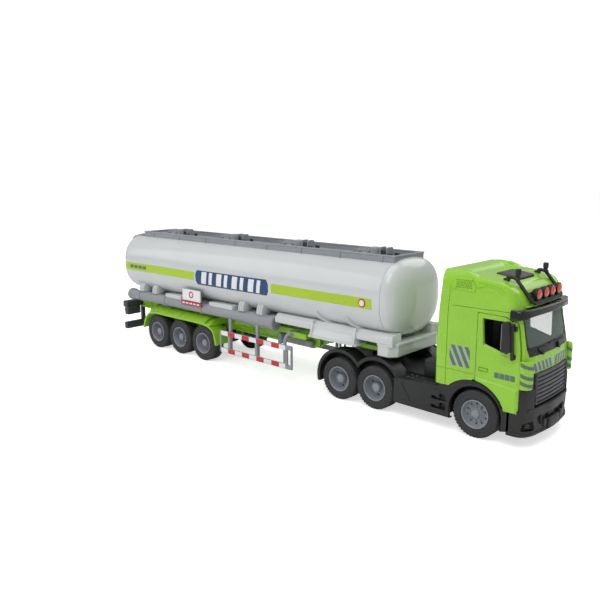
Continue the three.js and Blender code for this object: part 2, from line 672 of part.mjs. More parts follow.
// Roof walkway: two rails, end bars and floor, four manholes with their vent boxes, and the rear ladder.
function walkway() {
  const [rear, front] = [-226, 114];
  const parts = [
    box(rear, front, -20, -16.4, 112, 120), box(rear, front, 16.4, 20, 112, 120),
    box(rear, rear + 3.6, -20, 20, 116, 120), box(front - 3.6, front, -20, 20, 116, 120),
    box(rear, front, -17, 17, 117, 119.4),
  ];
  for (let i = 0; i < 4; i += 1) {
    const x = FIRST_MANHOLE_X - i * MANHOLE_PITCH;
    parts.push(rodZ(9, 119, 121.4, x, 0, 14));
    parts.push(rodZ(6.5, 121, 123.4, x, 0, 12));
    parts.push(box(x + 9.6, x + 23, -7, 7, 119, 125.3));
  }
  const x = TANK.rear - 1;
  for (const side of [1, -1]) {
    parts.push(bentBar(1, [
      [rear + 2, side * 15, 118.8], [x + 4, side * 13, 118.4],
      [x - 0.4, side * 12, 111], [x - 0.4, side * 12, 60],
    ], 6));
  }
  for (const z of [66, 74, 82, 90, 98]) parts.push(rodY(0.8, -12, 12, x - 0.4, z, 6));
  return piece('walkway', cut(join(...parts), tankForm(-0.15)), grey());
}

// Hose carrier tube with its sign plate, and the side guard hanging below it.
function sideRail(side) {
  const { y, z, radius } = HOSE_TUBE;
  const at = (x, y0, z0) => [x, side * y0, z0];
  const { rear, front, bottom, top, rail } = GUARD;
  const guard = [
    sideBox(side, rear, front, 36.4, BODY_SIDE, bottom, bottom + rail),
    sideBox(side, rear, front, 36.4, BODY_SIDE, top - rail, top),
    sideBox(side, rear, rear + 2, 36.4, BODY_SIDE, bottom, top),
    sideBox(side, front - 7.5, front, 36.4, BODY_SIDE, bottom, top),
    ...[-59, -22].map((x) => sideBox(side, x, x + 3, 34.4, 36.8, bottom, 49)),
    bentBar(1.5, [at(14, 35.9, 16), at(14, 35.9, 38), at(17, 32, 43.5), at(24, 25, 46)], 6),
  ];
  return piece(`side_rail_${sideName(side)}`, join(
    rodX(radius, HOSE_TUBE.rear, HOSE_TUBE.front, side * y, z),
    rodX(radius + 0.5, -34, HOSE_TUBE.front - 3, side * y, z),
    sideBox(side, -124, -95, 36.8, 38.2, 54, 70),
    ...guard,
  ), grey());
}

function rearBumper() {
  const bar = box(-240, -234, -34, 34, 10.5, 20);
  const crossbar = box(-HALF_LENGTH, -232, -34, 34, 36.5, 44.5);
  const posts = [1, -1].flatMap((side) => [
    sideBox(side, -238, -234, 9, 13, 19, 38),
    sideBox(side, -HALF_LENGTH, -234, 18, 34, 28, 38),
  ]);
  return piece('rear_bumper', join(bar, crossbar, ...posts), darkGrey());
}

// ---------------------------------------------------------------- the whole truck

const truck = new THREE.Group();
const tractor = new THREE.Group();
const trailer = new THREE.Group();
truck.add(tractor, trailer);

tractor.add(
  tractorChassis(), batteryCover(), buttonCells(), soundModule(), motorCase(), flywheel(), driveGear(),
  lowerBody(), cabShell(), cabInterior(), windscreen(), grille(), sunVisor(), lightBar(), roofLampLenses(),
  roofHatch(), door(1), door(-1), mirror(1), mirror(-1),
  pushButton('light_button', -1), pushButton('sound_button', 1),
  wheelset('steer', STEER_AXLE_X, true), wheelset('rear', REAR_AXLE_X[0], false),
  wheelset('drive', REAR_AXLE_X[1], false),
);
trailer.add(
  trailerFrame(), tankShell(), tankBase(), walkway(), sideRail(1), sideRail(-1), landingLegs(), rearBumper(),
);
TRAILER_AXLE_X.forEach((x, i) => {
  const place = ['rear', 'middle', 'front'][i];
  trailer.add(wheelset(`trailer_${place}`, x, false));
});

export default truck;
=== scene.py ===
import json
import math

import bmesh
import bpy
from mathutils import Matrix, Vector
from mathutils.bvhtree import BVHTree


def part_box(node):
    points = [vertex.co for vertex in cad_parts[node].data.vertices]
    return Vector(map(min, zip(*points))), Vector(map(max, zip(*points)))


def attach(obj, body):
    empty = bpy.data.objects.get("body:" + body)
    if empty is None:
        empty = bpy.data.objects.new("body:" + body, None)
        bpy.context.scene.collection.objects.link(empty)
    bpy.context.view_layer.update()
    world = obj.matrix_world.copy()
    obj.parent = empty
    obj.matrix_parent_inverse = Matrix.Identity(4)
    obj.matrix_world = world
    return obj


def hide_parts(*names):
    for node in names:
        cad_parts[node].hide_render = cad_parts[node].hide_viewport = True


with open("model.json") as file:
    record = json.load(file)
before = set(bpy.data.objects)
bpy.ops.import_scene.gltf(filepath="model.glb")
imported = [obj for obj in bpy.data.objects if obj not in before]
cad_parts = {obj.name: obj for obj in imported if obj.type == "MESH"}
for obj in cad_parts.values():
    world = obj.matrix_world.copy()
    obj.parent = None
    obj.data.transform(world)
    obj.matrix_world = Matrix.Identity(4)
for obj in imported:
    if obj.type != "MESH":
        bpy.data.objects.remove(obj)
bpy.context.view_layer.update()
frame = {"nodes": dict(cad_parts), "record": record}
MM = 0.001
SIDES = {"left": 1, "right": -1}


# ------------------------------------------------------------------ places, read from the frame

def box_mm(node):
    """Lowest and highest corner of a CAD node, in millimetres."""
    low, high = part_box(node)
    return low / MM, high / MM


def centre_mm(node):
    low, high = box_mm(node)
    return (low + high) / 2


WHEEL_SETS = {
    "steer": "steer_wheels", "rear": "rear_wheels", "drive": "drive_wheels",
    "trailer_rear": "trailer_rear_wheels", "trailer_middle": "trailer_middle_wheels",
    "trailer_front": "trailer_front_wheels",
}
AXLE = {name: centre_mm(f"{name}_axle") for name in WHEEL_SETS}
TYRE_LOW, TYRE_HIGH = box_mm("steer_tyre_left")
WHEEL_RADIUS = AXLE["steer"].z
TYRE_WIDTH = TYRE_HIGH.y - TYRE_LOW.y
RIM_RADIUS = 10.4
WHEEL_Y = (TYRE_HIGH.y + TYRE_LOW.y) / 2

BODY_SIDE = box_mm("cab_shell")[1].y  # half width of the cab, skirts and tank
CAB_WALL = 2.2
ARCH = {"x": 197, "z": 16, "radius": 26}  # the front wheel arch in the cab
DOOR_LOW, DOOR_HIGH = box_mm("door_left")
KINGPIN = (AXLE["rear"].x + 23, 0, 0)
TANK_LOW, TANK_HIGH = box_mm("tank_shell")
TANK_MIDDLE_Z = 87
TANK_HALF_HEIGHT = TANK_HIGH.z - TANK_MIDDLE_Z
TANK_POWER = 2.5  # how square the tank's oval section is
DOME_DEPTH = 16.0
WALK_REAR, WALK_FRONT, DECK_Z = -212, 118, 115.8
LEG_X, LEG_Z = 32, 36.3  # the landing legs' shaft
WELD = 1e-4  # vertices closer than this are one


# ------------------------------------------------------------------ outlines

def rounded(points, radius, steps=4):
    """The closed outline with its corners turned into arcs."""
    result = []
    for i, point in enumerate(points):
        corner = Vector(point)
        to_last = Vector(points[i - 1]) - corner
        to_next = Vector(points[(i + 1) % len(points)]) - corner
        angle = to_last.angle(to_next)
        if angle > math.radians(168):
            result.append(tuple(corner))
            continue
        reach = min(radius / math.tan(angle / 2), 0.48 * to_last.length, 0.48 * to_next.length)
        start = corner + to_last.normalized() * reach
        end = corner + to_next.normalized() * reach
        toward = (to_last.normalized() + to_next.normalized()).normalized()
        centre = corner + toward * (reach / math.cos(angle / 2))
        first, last = start - centre, end - centre
        for k in range(steps + 1):
            spoke = first.slerp(last, k / steps)
            result.append(tuple(centre + spoke))
    return result


def arc(u, v, radius, start, end, steps):
    """Points along an arc, in degrees counter-clockwise."""
    angles = [math.radians(start + (end - start) * i / steps) for i in range(steps + 1)]
    return [(u + radius * math.cos(a), v + radius * math.sin(a)) for a in angles]


def rectangle(u0, u1, v0, v1):
    return [(u0, v0), (u1, v0), (u1, v1), (u0, v1)]


def circle(u, v, radius, count=32):
    return arc(u, v, radius, 0, 360 * (count - 1) / count, count - 1)


def mirrored_v(points):
    """The outline closed by its mirror image in the second coordinate."""
    return points + [(u, -v) for u, v in reversed(points)]


def mirrored_u(points):
    """The outline closed by its mirror image in the first coordinate."""
    return points + [(-u, v) for u, v in reversed(points)]


def turned_way(points, counter_clockwise):
    """The outline running the way that is asked for."""
    area = sum(p[0] * q[1] - q[0] * p[1] for p, q in zip(points, points[1:] + points[:1]))
    return points if (area > 0) == counter_clockwise else points[::-1]


# ------------------------------------------------------------------ meshes, in millimetres

VIEWS = {
    "side": Matrix(((1, 0, 0), (0, 0, -1), (0, 1, 0))),  # outline (x, z), depth along -y
    "plan": Matrix(((1, 0, 0), (0, 1, 0), (0, 0, 1))),  # outline (x, y), depth along z
    "front": Matrix(((0, 0, 1), (1, 0, 0), (0, 1, 0))),  # outline (y, z), depth along x
}


def curve_solid(curve):
    """The solid that a bevelled curve makes."""
    holder = bpy.data.objects.new(curve.name, curve)
    mesh = bpy.data.meshes.new_from_object(holder)
    bm = bmesh.new()
    bm.from_mesh(mesh)
    bpy.data.objects.remove(holder)
    bpy.data.curves.remove(curve)
    bpy.data.meshes.remove(mesh)
    bmesh.ops.remove_doubles(bm, verts=bm.verts, dist=WELD)
    return bm


def plate(outlines, low, high, view="side", edge=0.35, steps=2):
    """A plate between two depths with rounded edges. The first outline is its rim, the rest are holes."""
    curve = bpy.data.curves.new("plate", "CURVE")
    curve.dimensions = "2D"
    curve.fill_mode = "BOTH"
    curve.extrude = (high - low) / 2 - edge
    curve.bevel_depth = edge
    curve.bevel_resolution = steps
    curve.offset = -edge
    for i, outline in enumerate(outlines):
        points = turned_way(list(outline), i == 0)
        spline = curve.splines.new("POLY")
        spline.points.add(len(points) - 1)
        for place, (u, v) in zip(spline.points, points):
            place.co = (u, v, 0, 1)
        spline.use_cyclic_u = True
    bm = curve_solid(curve)
    middle = (low + high) / 2
    if view == "side":
        middle = -middle
    bm.transform(VIEWS[view].to_4x4() @ Matrix.Translation((0, 0, middle)))
    bmesh.ops.recalc_face_normals(bm, faces=bm.faces)
    return bm


def block(x0, x1, y0, y1, z0, z1, edge=0.35, segments=2):
    """A box with rounded edges."""
    bm = bmesh.new()
    size = Matrix.Diagonal((abs(x1 - x0), abs(y1 - y0), abs(z1 - z0), 1))
    place = Matrix.Translation(((x0 + x1) / 2, (y0 + y1) / 2, (z0 + z1) / 2))
    bmesh.ops.create_cube(bm, size=1, matrix=place @ size)
    if edge:
        bmesh.ops.bevel(bm, geom=bm.edges[:], offset=edge, segments=segments, profile=0.5, affect="EDGES",
                        clamp_overlap=True)
    return bm


def side_block(side, x0, x1, y0, y1, z0, z1, edge=0.35, segments=2):
    """A box given for the left side, put on either side."""
    low, high = sorted((side * y0, side * y1))
    return block(x0, x1, low, high, z0, z1, edge, segments)


def skin(rings):
    """A solid through rings of equally many points, closed at both ends."""
    bm = bmesh.new()
    rows = [[bm.verts.new(p) for p in ring] for ring in rings]
    count = len(rows[0])
    for a, b in zip(rows, rows[1:]):
        for i in range(count):
            j = (i + 1) % count
            bm.faces.new((a[i], a[j], b[j], b[i]))
    bm.faces.new(rows[0][::-1])
    bm.faces.new(rows[-1])
    bmesh.ops.recalc_face_normals(bm, faces=bm.faces)
    return bm


def turned(profile, segments=48, axis="Y"):
    """A solid of revolution through (radius, along) points. It closes on the axis or on itself."""
    bm = bmesh.new()
    rows = []
    for radius, along in profile:
        if radius < 1e-6:
            rows.append([bm.verts.new((0, along, 0))])
            continue
        angles = [2 * math.pi * i / segments for i in range(segments)]
        rows.append([bm.verts.new((radius * math.cos(a), along, radius * math.sin(a))) for a in angles])
    pairs = list(zip(rows, rows[1:]))
    if len(rows[0]) > 1:
        pairs.append((rows[-1], rows[0]))
    for a, b in pairs:
        for i in range(segments):
            j = (i + 1) % segments
            corners = (a[i % len(a)], a[j % len(a)], b[j % len(b)], b[i % len(b)])
            face = list(dict.fromkeys(corners))
            if len(face) > 2:
                bm.faces.new(face)
    bmesh.ops.recalc_face_normals(bm, faces=bm.faces)
    if axis == "X":
        bm.transform(Matrix.Rotation(-math.pi / 2, 4, "Z"))
    if axis == "Z":
        bm.transform(Matrix.Rotation(math.pi / 2, 4, "X"))
    return bm


def turned_at(profile, place, segments=40, axis="Z", turn=0):
    """A turned form standing at a place, swung round there about the upright by an angle in degrees."""
    bm = turned(profile, segments, axis)
    bm.transform(Matrix.Translation(place) @ Matrix.Rotation(math.radians(turn), 4, "Z"))
    return bm


def rod(radius, start, end, edge=0.3, segments=24):
    """A round bar between two points with rounded ends."""
    start, end = Vector(start), Vector(end)
    length = (end - start).length
    edge = min(edge, radius * 0.9, length * 0.45)
    bend = [(radius - edge + edge * math.sin(a), edge - edge * math.cos(a))
            for a in (0, math.pi / 4, math.pi / 2)]
    profile = [(0, 0)] + bend + [(r, length - z) for r, z in reversed(bend)] + [(0, length)]
    bm = turned(profile, segments)
    turn = Vector((0, 1, 0)).rotation_difference(end - start).to_matrix().to_4x4()
    bm.transform(Matrix.Translation(start) @ turn)
    return bm


def tube(points, radius, smooth=True, resolution=6, bend=4):
    """A bar of round section through the points, bent smoothly."""
    curve = bpy.data.curves.new("tube", "CURVE")
    curve.dimensions = "3D"
    curve.bevel_depth = radius
    curve.bevel_resolution = resolution
    curve.use_fill_caps = True
    spline = curve.splines.new("POLY")
    path = bent_path([Vector(p) for p in points], bend) if smooth else points
    spline.points.add(len(path) - 1)
    for place, p in zip(spline.points, path):
        place.co = (*p, 1)
    bm = curve_solid(curve)
    bmesh.ops.recalc_face_normals(bm, faces=bm.faces)
    return bm


def panel(outline, radius, low, high, view="side", edge=0.35, steps=2):
    """A plate without holes, its outline's corners rounded."""
    return plate([rounded(outline, radius)], low, high, view, edge, steps)


def bent_path(points, radius, steps=6):
    """The path with each inner corner turned into a curve."""
    path = [points[0]]
    for last, corner, following in zip(points, points[1:], points[2:]):
        reach = min(radius, 0.45 * (corner - last).length, 0.45 * (following - corner).length)
        start = corner + (last - corner).normalized() * reach
        end = corner + (following - corner).normalized() * reach
        for k in range(steps + 1):
            t = k / steps
            path.append(start * (1 - t) ** 2 + corner * 2 * t * (1 - t) + end * t ** 2)
    path.append(points[-1])
    return path


def eased(points, radius, steps=6):
    """A flat path, bent the same way, as plain points."""
    return [tuple(p) for p in bent_path([Vector(p) for p in points], radius, steps)]


def merged(*parts):
    """One mesh of several shells."""
    whole = bmesh.new()
    for part in parts:
        mesh = bpy.data.meshes.new("part")
        part.to_mesh(mesh)
        part.free()
        whole.from_mesh(mesh)
        bpy.data.meshes.remove(mesh)
    return whole


def mirror_image(bm):
    """A copy on the other side of the truck."""
    other = bm.copy()
    other.transform(Matrix.Diagonal((1, -1, 1, 1)))
    bmesh.ops.reverse_faces(other, faces=other.faces)
    return other


def on_side(bm, side):
    """A mesh built for the left side, put on the given side."""
    if side > 0:
        return bm
    other = mirror_image(bm)
    bm.free()
    return other


def both_sides(bm):
    return merged(mirror_image(bm), bm)


def linked(name, data):
    """A new object in the scene."""
    obj = bpy.data.objects.new(name, data)
    bpy.context.scene.collection.objects.link(obj)
    return obj


def temporary(bm):
    """An object that holds the mesh while modifiers work on it."""
    mesh = bpy.data.meshes.new("temporary")
    bm.to_mesh(mesh)
    bm.free()
    return linked("temporary", mesh)


def modified(obj, kind, **settings):
    """Gives the object one more modifier."""
    modifier = obj.modifiers.new(kind.lower(), kind)
    for key, value in settings.items():
        setattr(modifier, key, value)


def applied(base, *others):
    """The mesh that the base's modifiers make. The temporary objects go."""
    graph = bpy.context.evaluated_depsgraph_get()
    mesh = bpy.data.meshes.new_from_object(base.evaluated_get(graph))
    result = bmesh.new()
    result.from_mesh(mesh)
    bpy.data.meshes.remove(mesh)
    for obj in (base, *others):
        used = obj.data
        bpy.data.objects.remove(obj)
        bpy.data.meshes.remove(used)
    return result


def combined(bm, *tools, operation="DIFFERENCE"):
    """The mesh cut by, or joined with, each tool in turn."""
    base = temporary(bm)
    others = [temporary(t) for t in tools]
    for other in others:
        modified(base, "BOOLEAN", operation=operation, solver="EXACT", object=other)
    result = applied(base, *others)
    bmesh.ops.remove_doubles(result, verts=result.verts, dist=WELD)
    return result


def smooth_mesh(name, bm, angle):
    """The finished mesh in metres, smooth except where it turns by more than the angle."""
    bmesh.ops.scale(bm, vec=(MM, MM, MM), verts=bm.verts)
    mesh = bpy.data.meshes.new(name)
    bm.to_mesh(mesh)
    bm.free()
    for polygon in mesh.polygons:
        polygon.use_smooth = True
    mesh.set_sharp_from_angle(angle=math.radians(angle))
    return mesh


def make_piece(name, bm, body, material, replaces=(), angle=35):
    """Turns a millimetre mesh into a named piece that rides on a body and stands in for CAD nodes."""
    mesh = smooth_mesh(name, bm, angle)
    mesh.materials.append(material)
    obj = linked(name, mesh)
    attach(obj, body)
    if replaces:
        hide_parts(*replaces)


# ------------------------------------------------------------------ materials

def set_inputs(node, values):
    for key, value in values.items():
        node.inputs[key].default_value = value


def node_at(tree, kind, values=None, **settings):
    """A new shader node with its input values and settings."""
    node = tree.nodes.new("ShaderNode" + kind)
    for key, value in settings.items():
        setattr(node, key, value)
    set_inputs(node, values or {})
    return node


def new_material(name, slot=None):
    material = bpy.data.materials.new(name)
    material.use_nodes = True
    if slot:
        material["slot"] = slot
    return material, material.node_tree, material.node_tree.nodes["Principled BSDF"]


def noise(tree, scale, detail):
    """Noise that stays with the piece."""
    texture = node_at(tree, "TexNoise", {"Scale": scale, "Detail": detail})
    where = node_at(tree, "TexCoord")
    tree.links.new(where.outputs["Object"], texture.inputs["Vector"])
    return texture.outputs["Fac"]


def ranged(tree, value, to_low, to_high, low=0, high=1):
    """The value carried from one range to another."""
    span = {"From Min": low, "From Max": high, "To Min": to_low, "To Max": to_high}
    mapping = node_at(tree, "MapRange", span)
    tree.links.new(value, mapping.inputs["Value"])
    return mapping.outputs["Result"]


def plastic(name, colour, roughness, slot, coat=0.0, grain=0.02, edge_radius=0.25, edge_highlight=0.12, mottle=0.05,
            emission=0.0):
    """Moulded plastic: faint flow marks, uneven gloss, fine surface grain and a painted highlight along its
    edges.
    """
    material, tree, shader = new_material(name, slot)
    link = tree.links.new

    # colour: broad flow marks, then paler edges where the surface turns, a painted edge highlight in patches
    mix_fac, mix_a, mix_b, mix_result = 0, 6, 7, 2  # a colour mix node's sockets
    base = node_at(tree, "Mix", {
        mix_a: (*[c * (1 - mottle) for c in colour], 1),
        mix_b: (*[min(1, c * (1 + mottle)) for c in colour], 1),
    }, data_type="RGBA")
    link(ranged(tree, noise(tree, 28, 3), 0, 1, 0.3, 0.7), base.inputs[mix_fac])

    rounding = node_at(tree, "Bevel", {"Radius": edge_radius * MM}, samples=3)
    geometry = node_at(tree, "NewGeometry")
    turn = node_at(tree, "VectorMath", operation="DOT_PRODUCT")
    link(rounding.outputs["Normal"], turn.inputs[0])
    link(geometry.outputs["Normal"], turn.inputs[1])
    # painted edge highlight: the colour goes paler where the bevelled normal turns away from the true one,
    # broken into patches by noise
    highlight_mask = node_at(tree, "Math", operation="MULTIPLY")
    link(ranged(tree, turn.outputs["Value"], 0, edge_highlight, 0.995, 0.8), highlight_mask.inputs[0])
    link(ranged(tree, noise(tree, 260, 2), 0.2, 1, 0.35, 0.65), highlight_mask.inputs[1])
    highlighted = node_at(tree, "Mix", {mix_b: (*[c + (0.8 - c) * 0.6 for c in colour], 1)}, data_type="RGBA")
    link(highlight_mask.outputs[0], highlighted.inputs[mix_fac])
    link(base.outputs[mix_result], highlighted.inputs[mix_a])
    link(highlighted.outputs[mix_result], shader.inputs["Base Color"])

    # gloss: finger marks and flow lines
    gloss = ranged(tree, noise(tree, 70, 5), roughness * 0.8, roughness * 1.25 + 0.02, 0.25, 0.75)
    link(gloss, shader.inputs["Roughness"])
    set_inputs(shader, {"Coat Weight": coat, "Coat Roughness": 0.08, "IOR": 1.49})
    if emission:
        set_inputs(shader, {"Emission Color": (*colour, 1), "Emission Strength": emission})

    # relief: moulding grain, over the rounded edges
    bump = node_at(tree, "Bump", {"Strength": 0.35, "Distance": grain * MM})
    link(noise(tree, 2600, 2), bump.inputs["Height"])
    link(rounding.outputs["Normal"], bump.inputs["Normal"])
    link(bump.outputs["Normal"], shader.inputs["Normal"])
    return material


def drawn_steel():
    """Bright steel with faint marks and a little tarnish."""
    material = plastic("steel", (0.56, 0.56, 0.57), 0.28, "steel", grain=0.01, edge_highlight=0.0, mottle=0.08)
    material.node_tree.nodes["Principled BSDF"].inputs["Metallic"].default_value = 1
    return material


def clear_plastic():
    """Polished clear plastic, more see-through face on than edge on, with faint smears in its gloss."""
    material, tree, shader = new_material("clear_plastic", "clear_plastic")
    set_inputs(shader, {"Base Color": (0.30, 0.36, 0.35, 1), "IOR": 1.3})
    tree.links.new(ranged(tree, noise(tree, 60, 4), 0.02, 0.12), shader.inputs["Roughness"])
    facing = node_at(tree, "LayerWeight", {"Blend": 0.35})
    tree.links.new(ranged(tree, facing.outputs["Fresnel"], 0.10, 0.55), shader.inputs["Alpha"])
    return material


LIME = plastic("lime_plastic", (0.29, 0.60, 0.03), 0.26, "lime_plastic", coat=0.25)
FRAME_LIME = plastic("frame_lime_plastic", (0.27, 0.55, 0.02), 0.24, "lime_plastic", coat=0.25)
BLACK = plastic("black_plastic", (0.013, 0.0135, 0.015), 0.44, "black_plastic", grain=0.05, edge_highlight=0.10,
                mottle=0.15)
SMOKED = plastic("smoked_plastic", (0.005, 0.005, 0.006), 0.07, "smoked_plastic", coat=0.5, edge_highlight=0.03,
                 mottle=0.1)
GLAZING_BLACK = plastic("glazing_black", (0.006, 0.006, 0.007), 0.35, "clear_plastic", edge_highlight=0.0, mottle=0.1,
                        edge_radius=0.1)
DARK_GREY = plastic("dark_grey_plastic", (0.042, 0.044, 0.052), 0.4, "dark_grey_plastic", grain=0.04,
                    mottle=0.1)
GREY = plastic("grey_plastic", (0.285, 0.30, 0.325), 0.38, "grey_plastic", grain=0.03, mottle=0.07)
WHITE = plastic("white_plastic", (0.61, 0.63, 0.635), 0.13, "white_plastic", coat=0.35, edge_highlight=0.05,
                mottle=0.02)
NATURAL = plastic("natural_plastic", (0.74, 0.73, 0.68), 0.45, "natural_plastic", mottle=0.04)
RIM_GREY = plastic("rim_plastic", (0.25, 0.27, 0.30), 0.32, "rim_plastic", edge_highlight=0.8, mottle=0.08)
CAB_TRIM = plastic("cab_trim", (0.07, 0.072, 0.078), 0.5, "black_plastic", grain=0.05)
TYRE = plastic("tyre", (0.030, 0.031, 0.033), 0.62, "tyre", grain=0.09, edge_highlight=0.18, mottle=0.2)
LENS = plastic("lamp_lens", (0.60, 0.07, 0.03), 0.12, "lamp_lens", coat=0.8, edge_highlight=0.0, emission=0.08)
CIRCUIT = plastic("circuit_board", (0.02, 0.16, 0.07), 0.3, "circuit_board", mottle=0.2)
STEEL = drawn_steel()
CLEAR = clear_plastic()
PRINT = {
    name: plastic(f"print_{name}", colour, roughness, f"{ground}_plastic", edge_highlight=0.0, edge_radius=0.05)
    for name, colour, roughness, ground in (
        ("lime", (0.42, 0.60, 0.02), 0.3, "white"), ("navy", (0.006, 0.05, 0.16), 0.3, "white"),
        ("white", (0.80, 0.82, 0.83), 0.3, "white"), ("red", (0.55, 0.02, 0.03), 0.3, "grey"),
        ("silver", (0.36, 0.50, 0.30), 0.4, "lime"), ("dark", (0.10, 0.16, 0.13), 0.4, "lime"),
    )
}

SLOT_MATERIAL = {
    "black_plastic": BLACK, "steel": STEEL, "circuit_board": CIRCUIT, "natural_plastic": NATURAL,
    "dark_grey_plastic": DARK_GREY, "white_plastic": WHITE, "lime_plastic": LIME, "grey_plastic": GREY,
    "smoked_plastic": SMOKED, "clear_plastic": CLEAR, "lamp_lens": LENS, "rim_plastic": RIM_GREY,
    "tyre": TYRE,
}


def finish_node(name, edge=0.3, material=None):
    """A CAD node that stays: welded, its edges rounded, and given its slot's material."""
    obj = frame["nodes"][name]
    slot_name = next(s["material_slot"] for s in frame["record"]["subparts"] if s["node"] == name)
    obj.data.materials.clear()
    obj.data.materials.append(material or SLOT_MATERIAL[slot_name])
    modified(obj, "WELD", merge_threshold=0.002 * MM)
    modified(obj, "DECIMATE", decimate_type="DISSOLVE", angle_limit=math.radians(1))
    modified(obj, "BEVEL", width=edge * MM, segments=2, limit_method="ANGLE", angle_limit=math.radians(50),
             harden_normals=True)


# ------------------------------------------------------------------ wheels

def tyre_form():
    """A soft tyre about the Y axis, outer side towards +Y, with tread ribs and blocks and a sidewall ring."""
    half = TYRE_WIDTH / 2
    bead = RIM_RADIUS + 0.1
    groove = 0.55
    profile = [(bead, -half + 0.3)] + [(r, -half + y) for r, y in ((13.2, 0.0), (15.4, 0.1), (16.7, 0.75))]
    for middle in (-3.4, -1.1, 1.1, 3.4):
        profile += [
            (WHEEL_RADIUS, middle - 0.85), (WHEEL_RADIUS, middle + 0.55),
            (WHEEL_RADIUS - groove, middle + 0.75), (WHEEL_RADIUS - groove, middle + 1.15),
        ]
    profile[-2:] = [(WHEEL_RADIUS, 4.6)]
    profile.insert(4, (WHEEL_RADIUS - 0.12, -4.9))
    profile += [(16.7, half - 0.75), (15.6, half - 0.1), (15.2, half + 0.02), (14.9, half - 0.28)]
    profile += [(13.4, half - 0.22), (13.1, half + 0.02), (12.5, half), (bead, half - 0.5)]
    body = turned(profile, 96)
    blocks = []
    for i in range(40):
        turn = Matrix.Rotation(2 * math.pi * i / 40, 4, "Y")
        for y in (-5.35, 5.35):
            lug = block(-0.75, 0.75, y - 0.75, y + 0.75, WHEEL_RADIUS - 1.4, WHEEL_RADIUS - 0.28, edge=0.2,
                        segments=1)
            lug.transform(turn)
            blocks.append(lug)
    return merged(body, *blocks)


RIM_STYLES = {
    "steer": {
        "disc": 2.6, "count": 10, "hole": 0.72, "hole_ring": 7.4,
        "hub_end": 6.0, "hub": 3.1, "nut_ring": 5.2, "nut_turn": 0.5,
    },
    "plain": {
        "disc": -0.2, "count": 6, "hole": 1.0, "hole_ring": 6.6,
        "hub_end": 4.9, "hub": 3.6, "nut_ring": 4.9, "nut_turn": 0,
    },
}


def ring_places(count, radius, turn):
    """Evenly spread places round a circle, the first turned on by a part of the step."""
    angles = [2 * math.pi * (i + turn) / count for i in range(count)]
    return [(radius * math.cos(a), radius * math.sin(a)) for a in angles]


def rim_form(style_name):
    """A rim about the Y axis with its lip, dished disc with holes, hub and wheel nuts."""
    style = RIM_STYLES[style_name]
    half = TYRE_WIDTH / 2 - 0.35
    disc_y, count, hub_end, hub_radius = style["disc"], style["count"], style["hub_end"], style["hub"]
    disc_radius = RIM_RADIUS - 1.5
    lip = turned([
        (disc_radius + 0.3, -half), (RIM_RADIUS, -half), (RIM_RADIUS, half - 0.5),
        (RIM_RADIUS + 0.05, half + 0.25), (RIM_RADIUS - 0.2, half + 0.5), (RIM_RADIUS - 0.6, half + 0.45),
        (RIM_RADIUS - 0.9, half + 0.1), (RIM_RADIUS - 1.0, half - 0.9),
        (disc_radius, disc_y + 1.6), (disc_radius - 0.3, disc_y + 0.4), (disc_radius - 0.3, disc_y - 1.4),
        (disc_radius + 0.3, disc_y - 1.6),
    ], 72)
    holes = [circle(x, z, style["hole"], 14) for x, z in ring_places(count, style["hole_ring"], 0.5)]
    disc = plate([circle(0, 0, disc_radius, 64), *holes], disc_y - 1.2, disc_y + 0.6, "side", edge=0.25)
    hub = turned([
        (0, disc_y - 1.4), (3.7, disc_y - 1.4), (4.3, disc_y + 0.5), (4.1, disc_y + 1.0),
        (hub_radius + 0.5, disc_y + 1.3), (hub_radius, hub_end - 1.0), (hub_radius - 0.25, hub_end - 0.45),
        (hub_radius - 0.9, hub_end - 0.2), (1.5, hub_end - 0.15), (1.3, hub_end), (0, hub_end + 0.05),
    ], 40)
    parts = [lip, disc, hub]
    nut = [(0, 0), (0.62, 0), (0.62, 0.75), (0.4, 1.05), (0, 1.15)]
    for x, z in ring_places(count, style["nut_ring"], style["nut_turn"]):
        parts.append(turned_at(nut, (x, disc_y + 0.55, z), 6, "Y"))
    if style_name == "steer":
        parts.append(turned([
            (6.0, disc_y + 0.5), (6.4, disc_y + 0.5), (6.35, disc_y + 1.0), (6.05, disc_y + 1.0),
        ], 48))
    return merged(*parts)


def wheel_mesh(name, bm, material):
    mesh = smooth_mesh(name, bm, 32)
    mesh.materials.append(material)
    return mesh


def place_wheel(name, mesh, node, body, side, centre):
    """One wheel part, sharing its mesh with its copies. The right side's copy is turned to face outwards."""
    obj = linked(name, mesh)
    obj.location = (centre.x * MM, side * WHEEL_Y * MM, centre.z * MM)
    obj.rotation_euler = (0, 0, 0 if side > 0 else math.pi)
    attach(obj, body)
    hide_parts(node)


def make_wheels():
    tyre = wheel_mesh("tyre_form", tyre_form(), TYRE)
    rims = {style: wheel_mesh("rim_form", rim_form(style), RIM_GREY) for style in RIM_STYLES}
    for name, body in WHEEL_SETS.items():
        rim = rims["steer" if name == "steer" else "plain"]
        for end, side in SIDES.items():
            place_wheel(f"{name}_soft_tyre_{end}", tyre, f"{name}_tyre_{end}", body, side, AXLE[name])
            place_wheel(f"{name}_dished_rim_{end}", rim, f"{name}_rim_{end}", body, side, AXLE[name])
        finish_node(f"{name}_axle", 0.15)


make_wheels()


# ------------------------------------------------------------------ surfaces that other pieces follow

def softened(bm, voxel, passes):
    """The form remeshed evenly, with every edge drawn round."""
    base = temporary(bm)
    modified(base, "REMESH", mode="VOXEL", voxel_size=voxel)
    modified(base, "SMOOTH", factor=0.5, iterations=passes)
    return applied(base)


def axis_extent(bm, axis):
    values = [v.co[axis] for v in bm.verts]
    return min(values), max(values)


def slice_at(bm, axis, values):
    """Cuts new edges into a mesh across an axis, so that it can bend there."""
    for value in values:
        place, normal = Vector((0, 0, 0)), Vector((0, 0, 0))
        place[axis], normal[axis] = value, 1
        bmesh.ops.bisect_plane(
            bm, geom=bm.verts[:] + bm.edges[:] + bm.faces[:], dist=1e-5, plane_co=place, plane_no=normal)


DEPTH_AXIS = {"side": 1, "front": 0, "plan": 2}


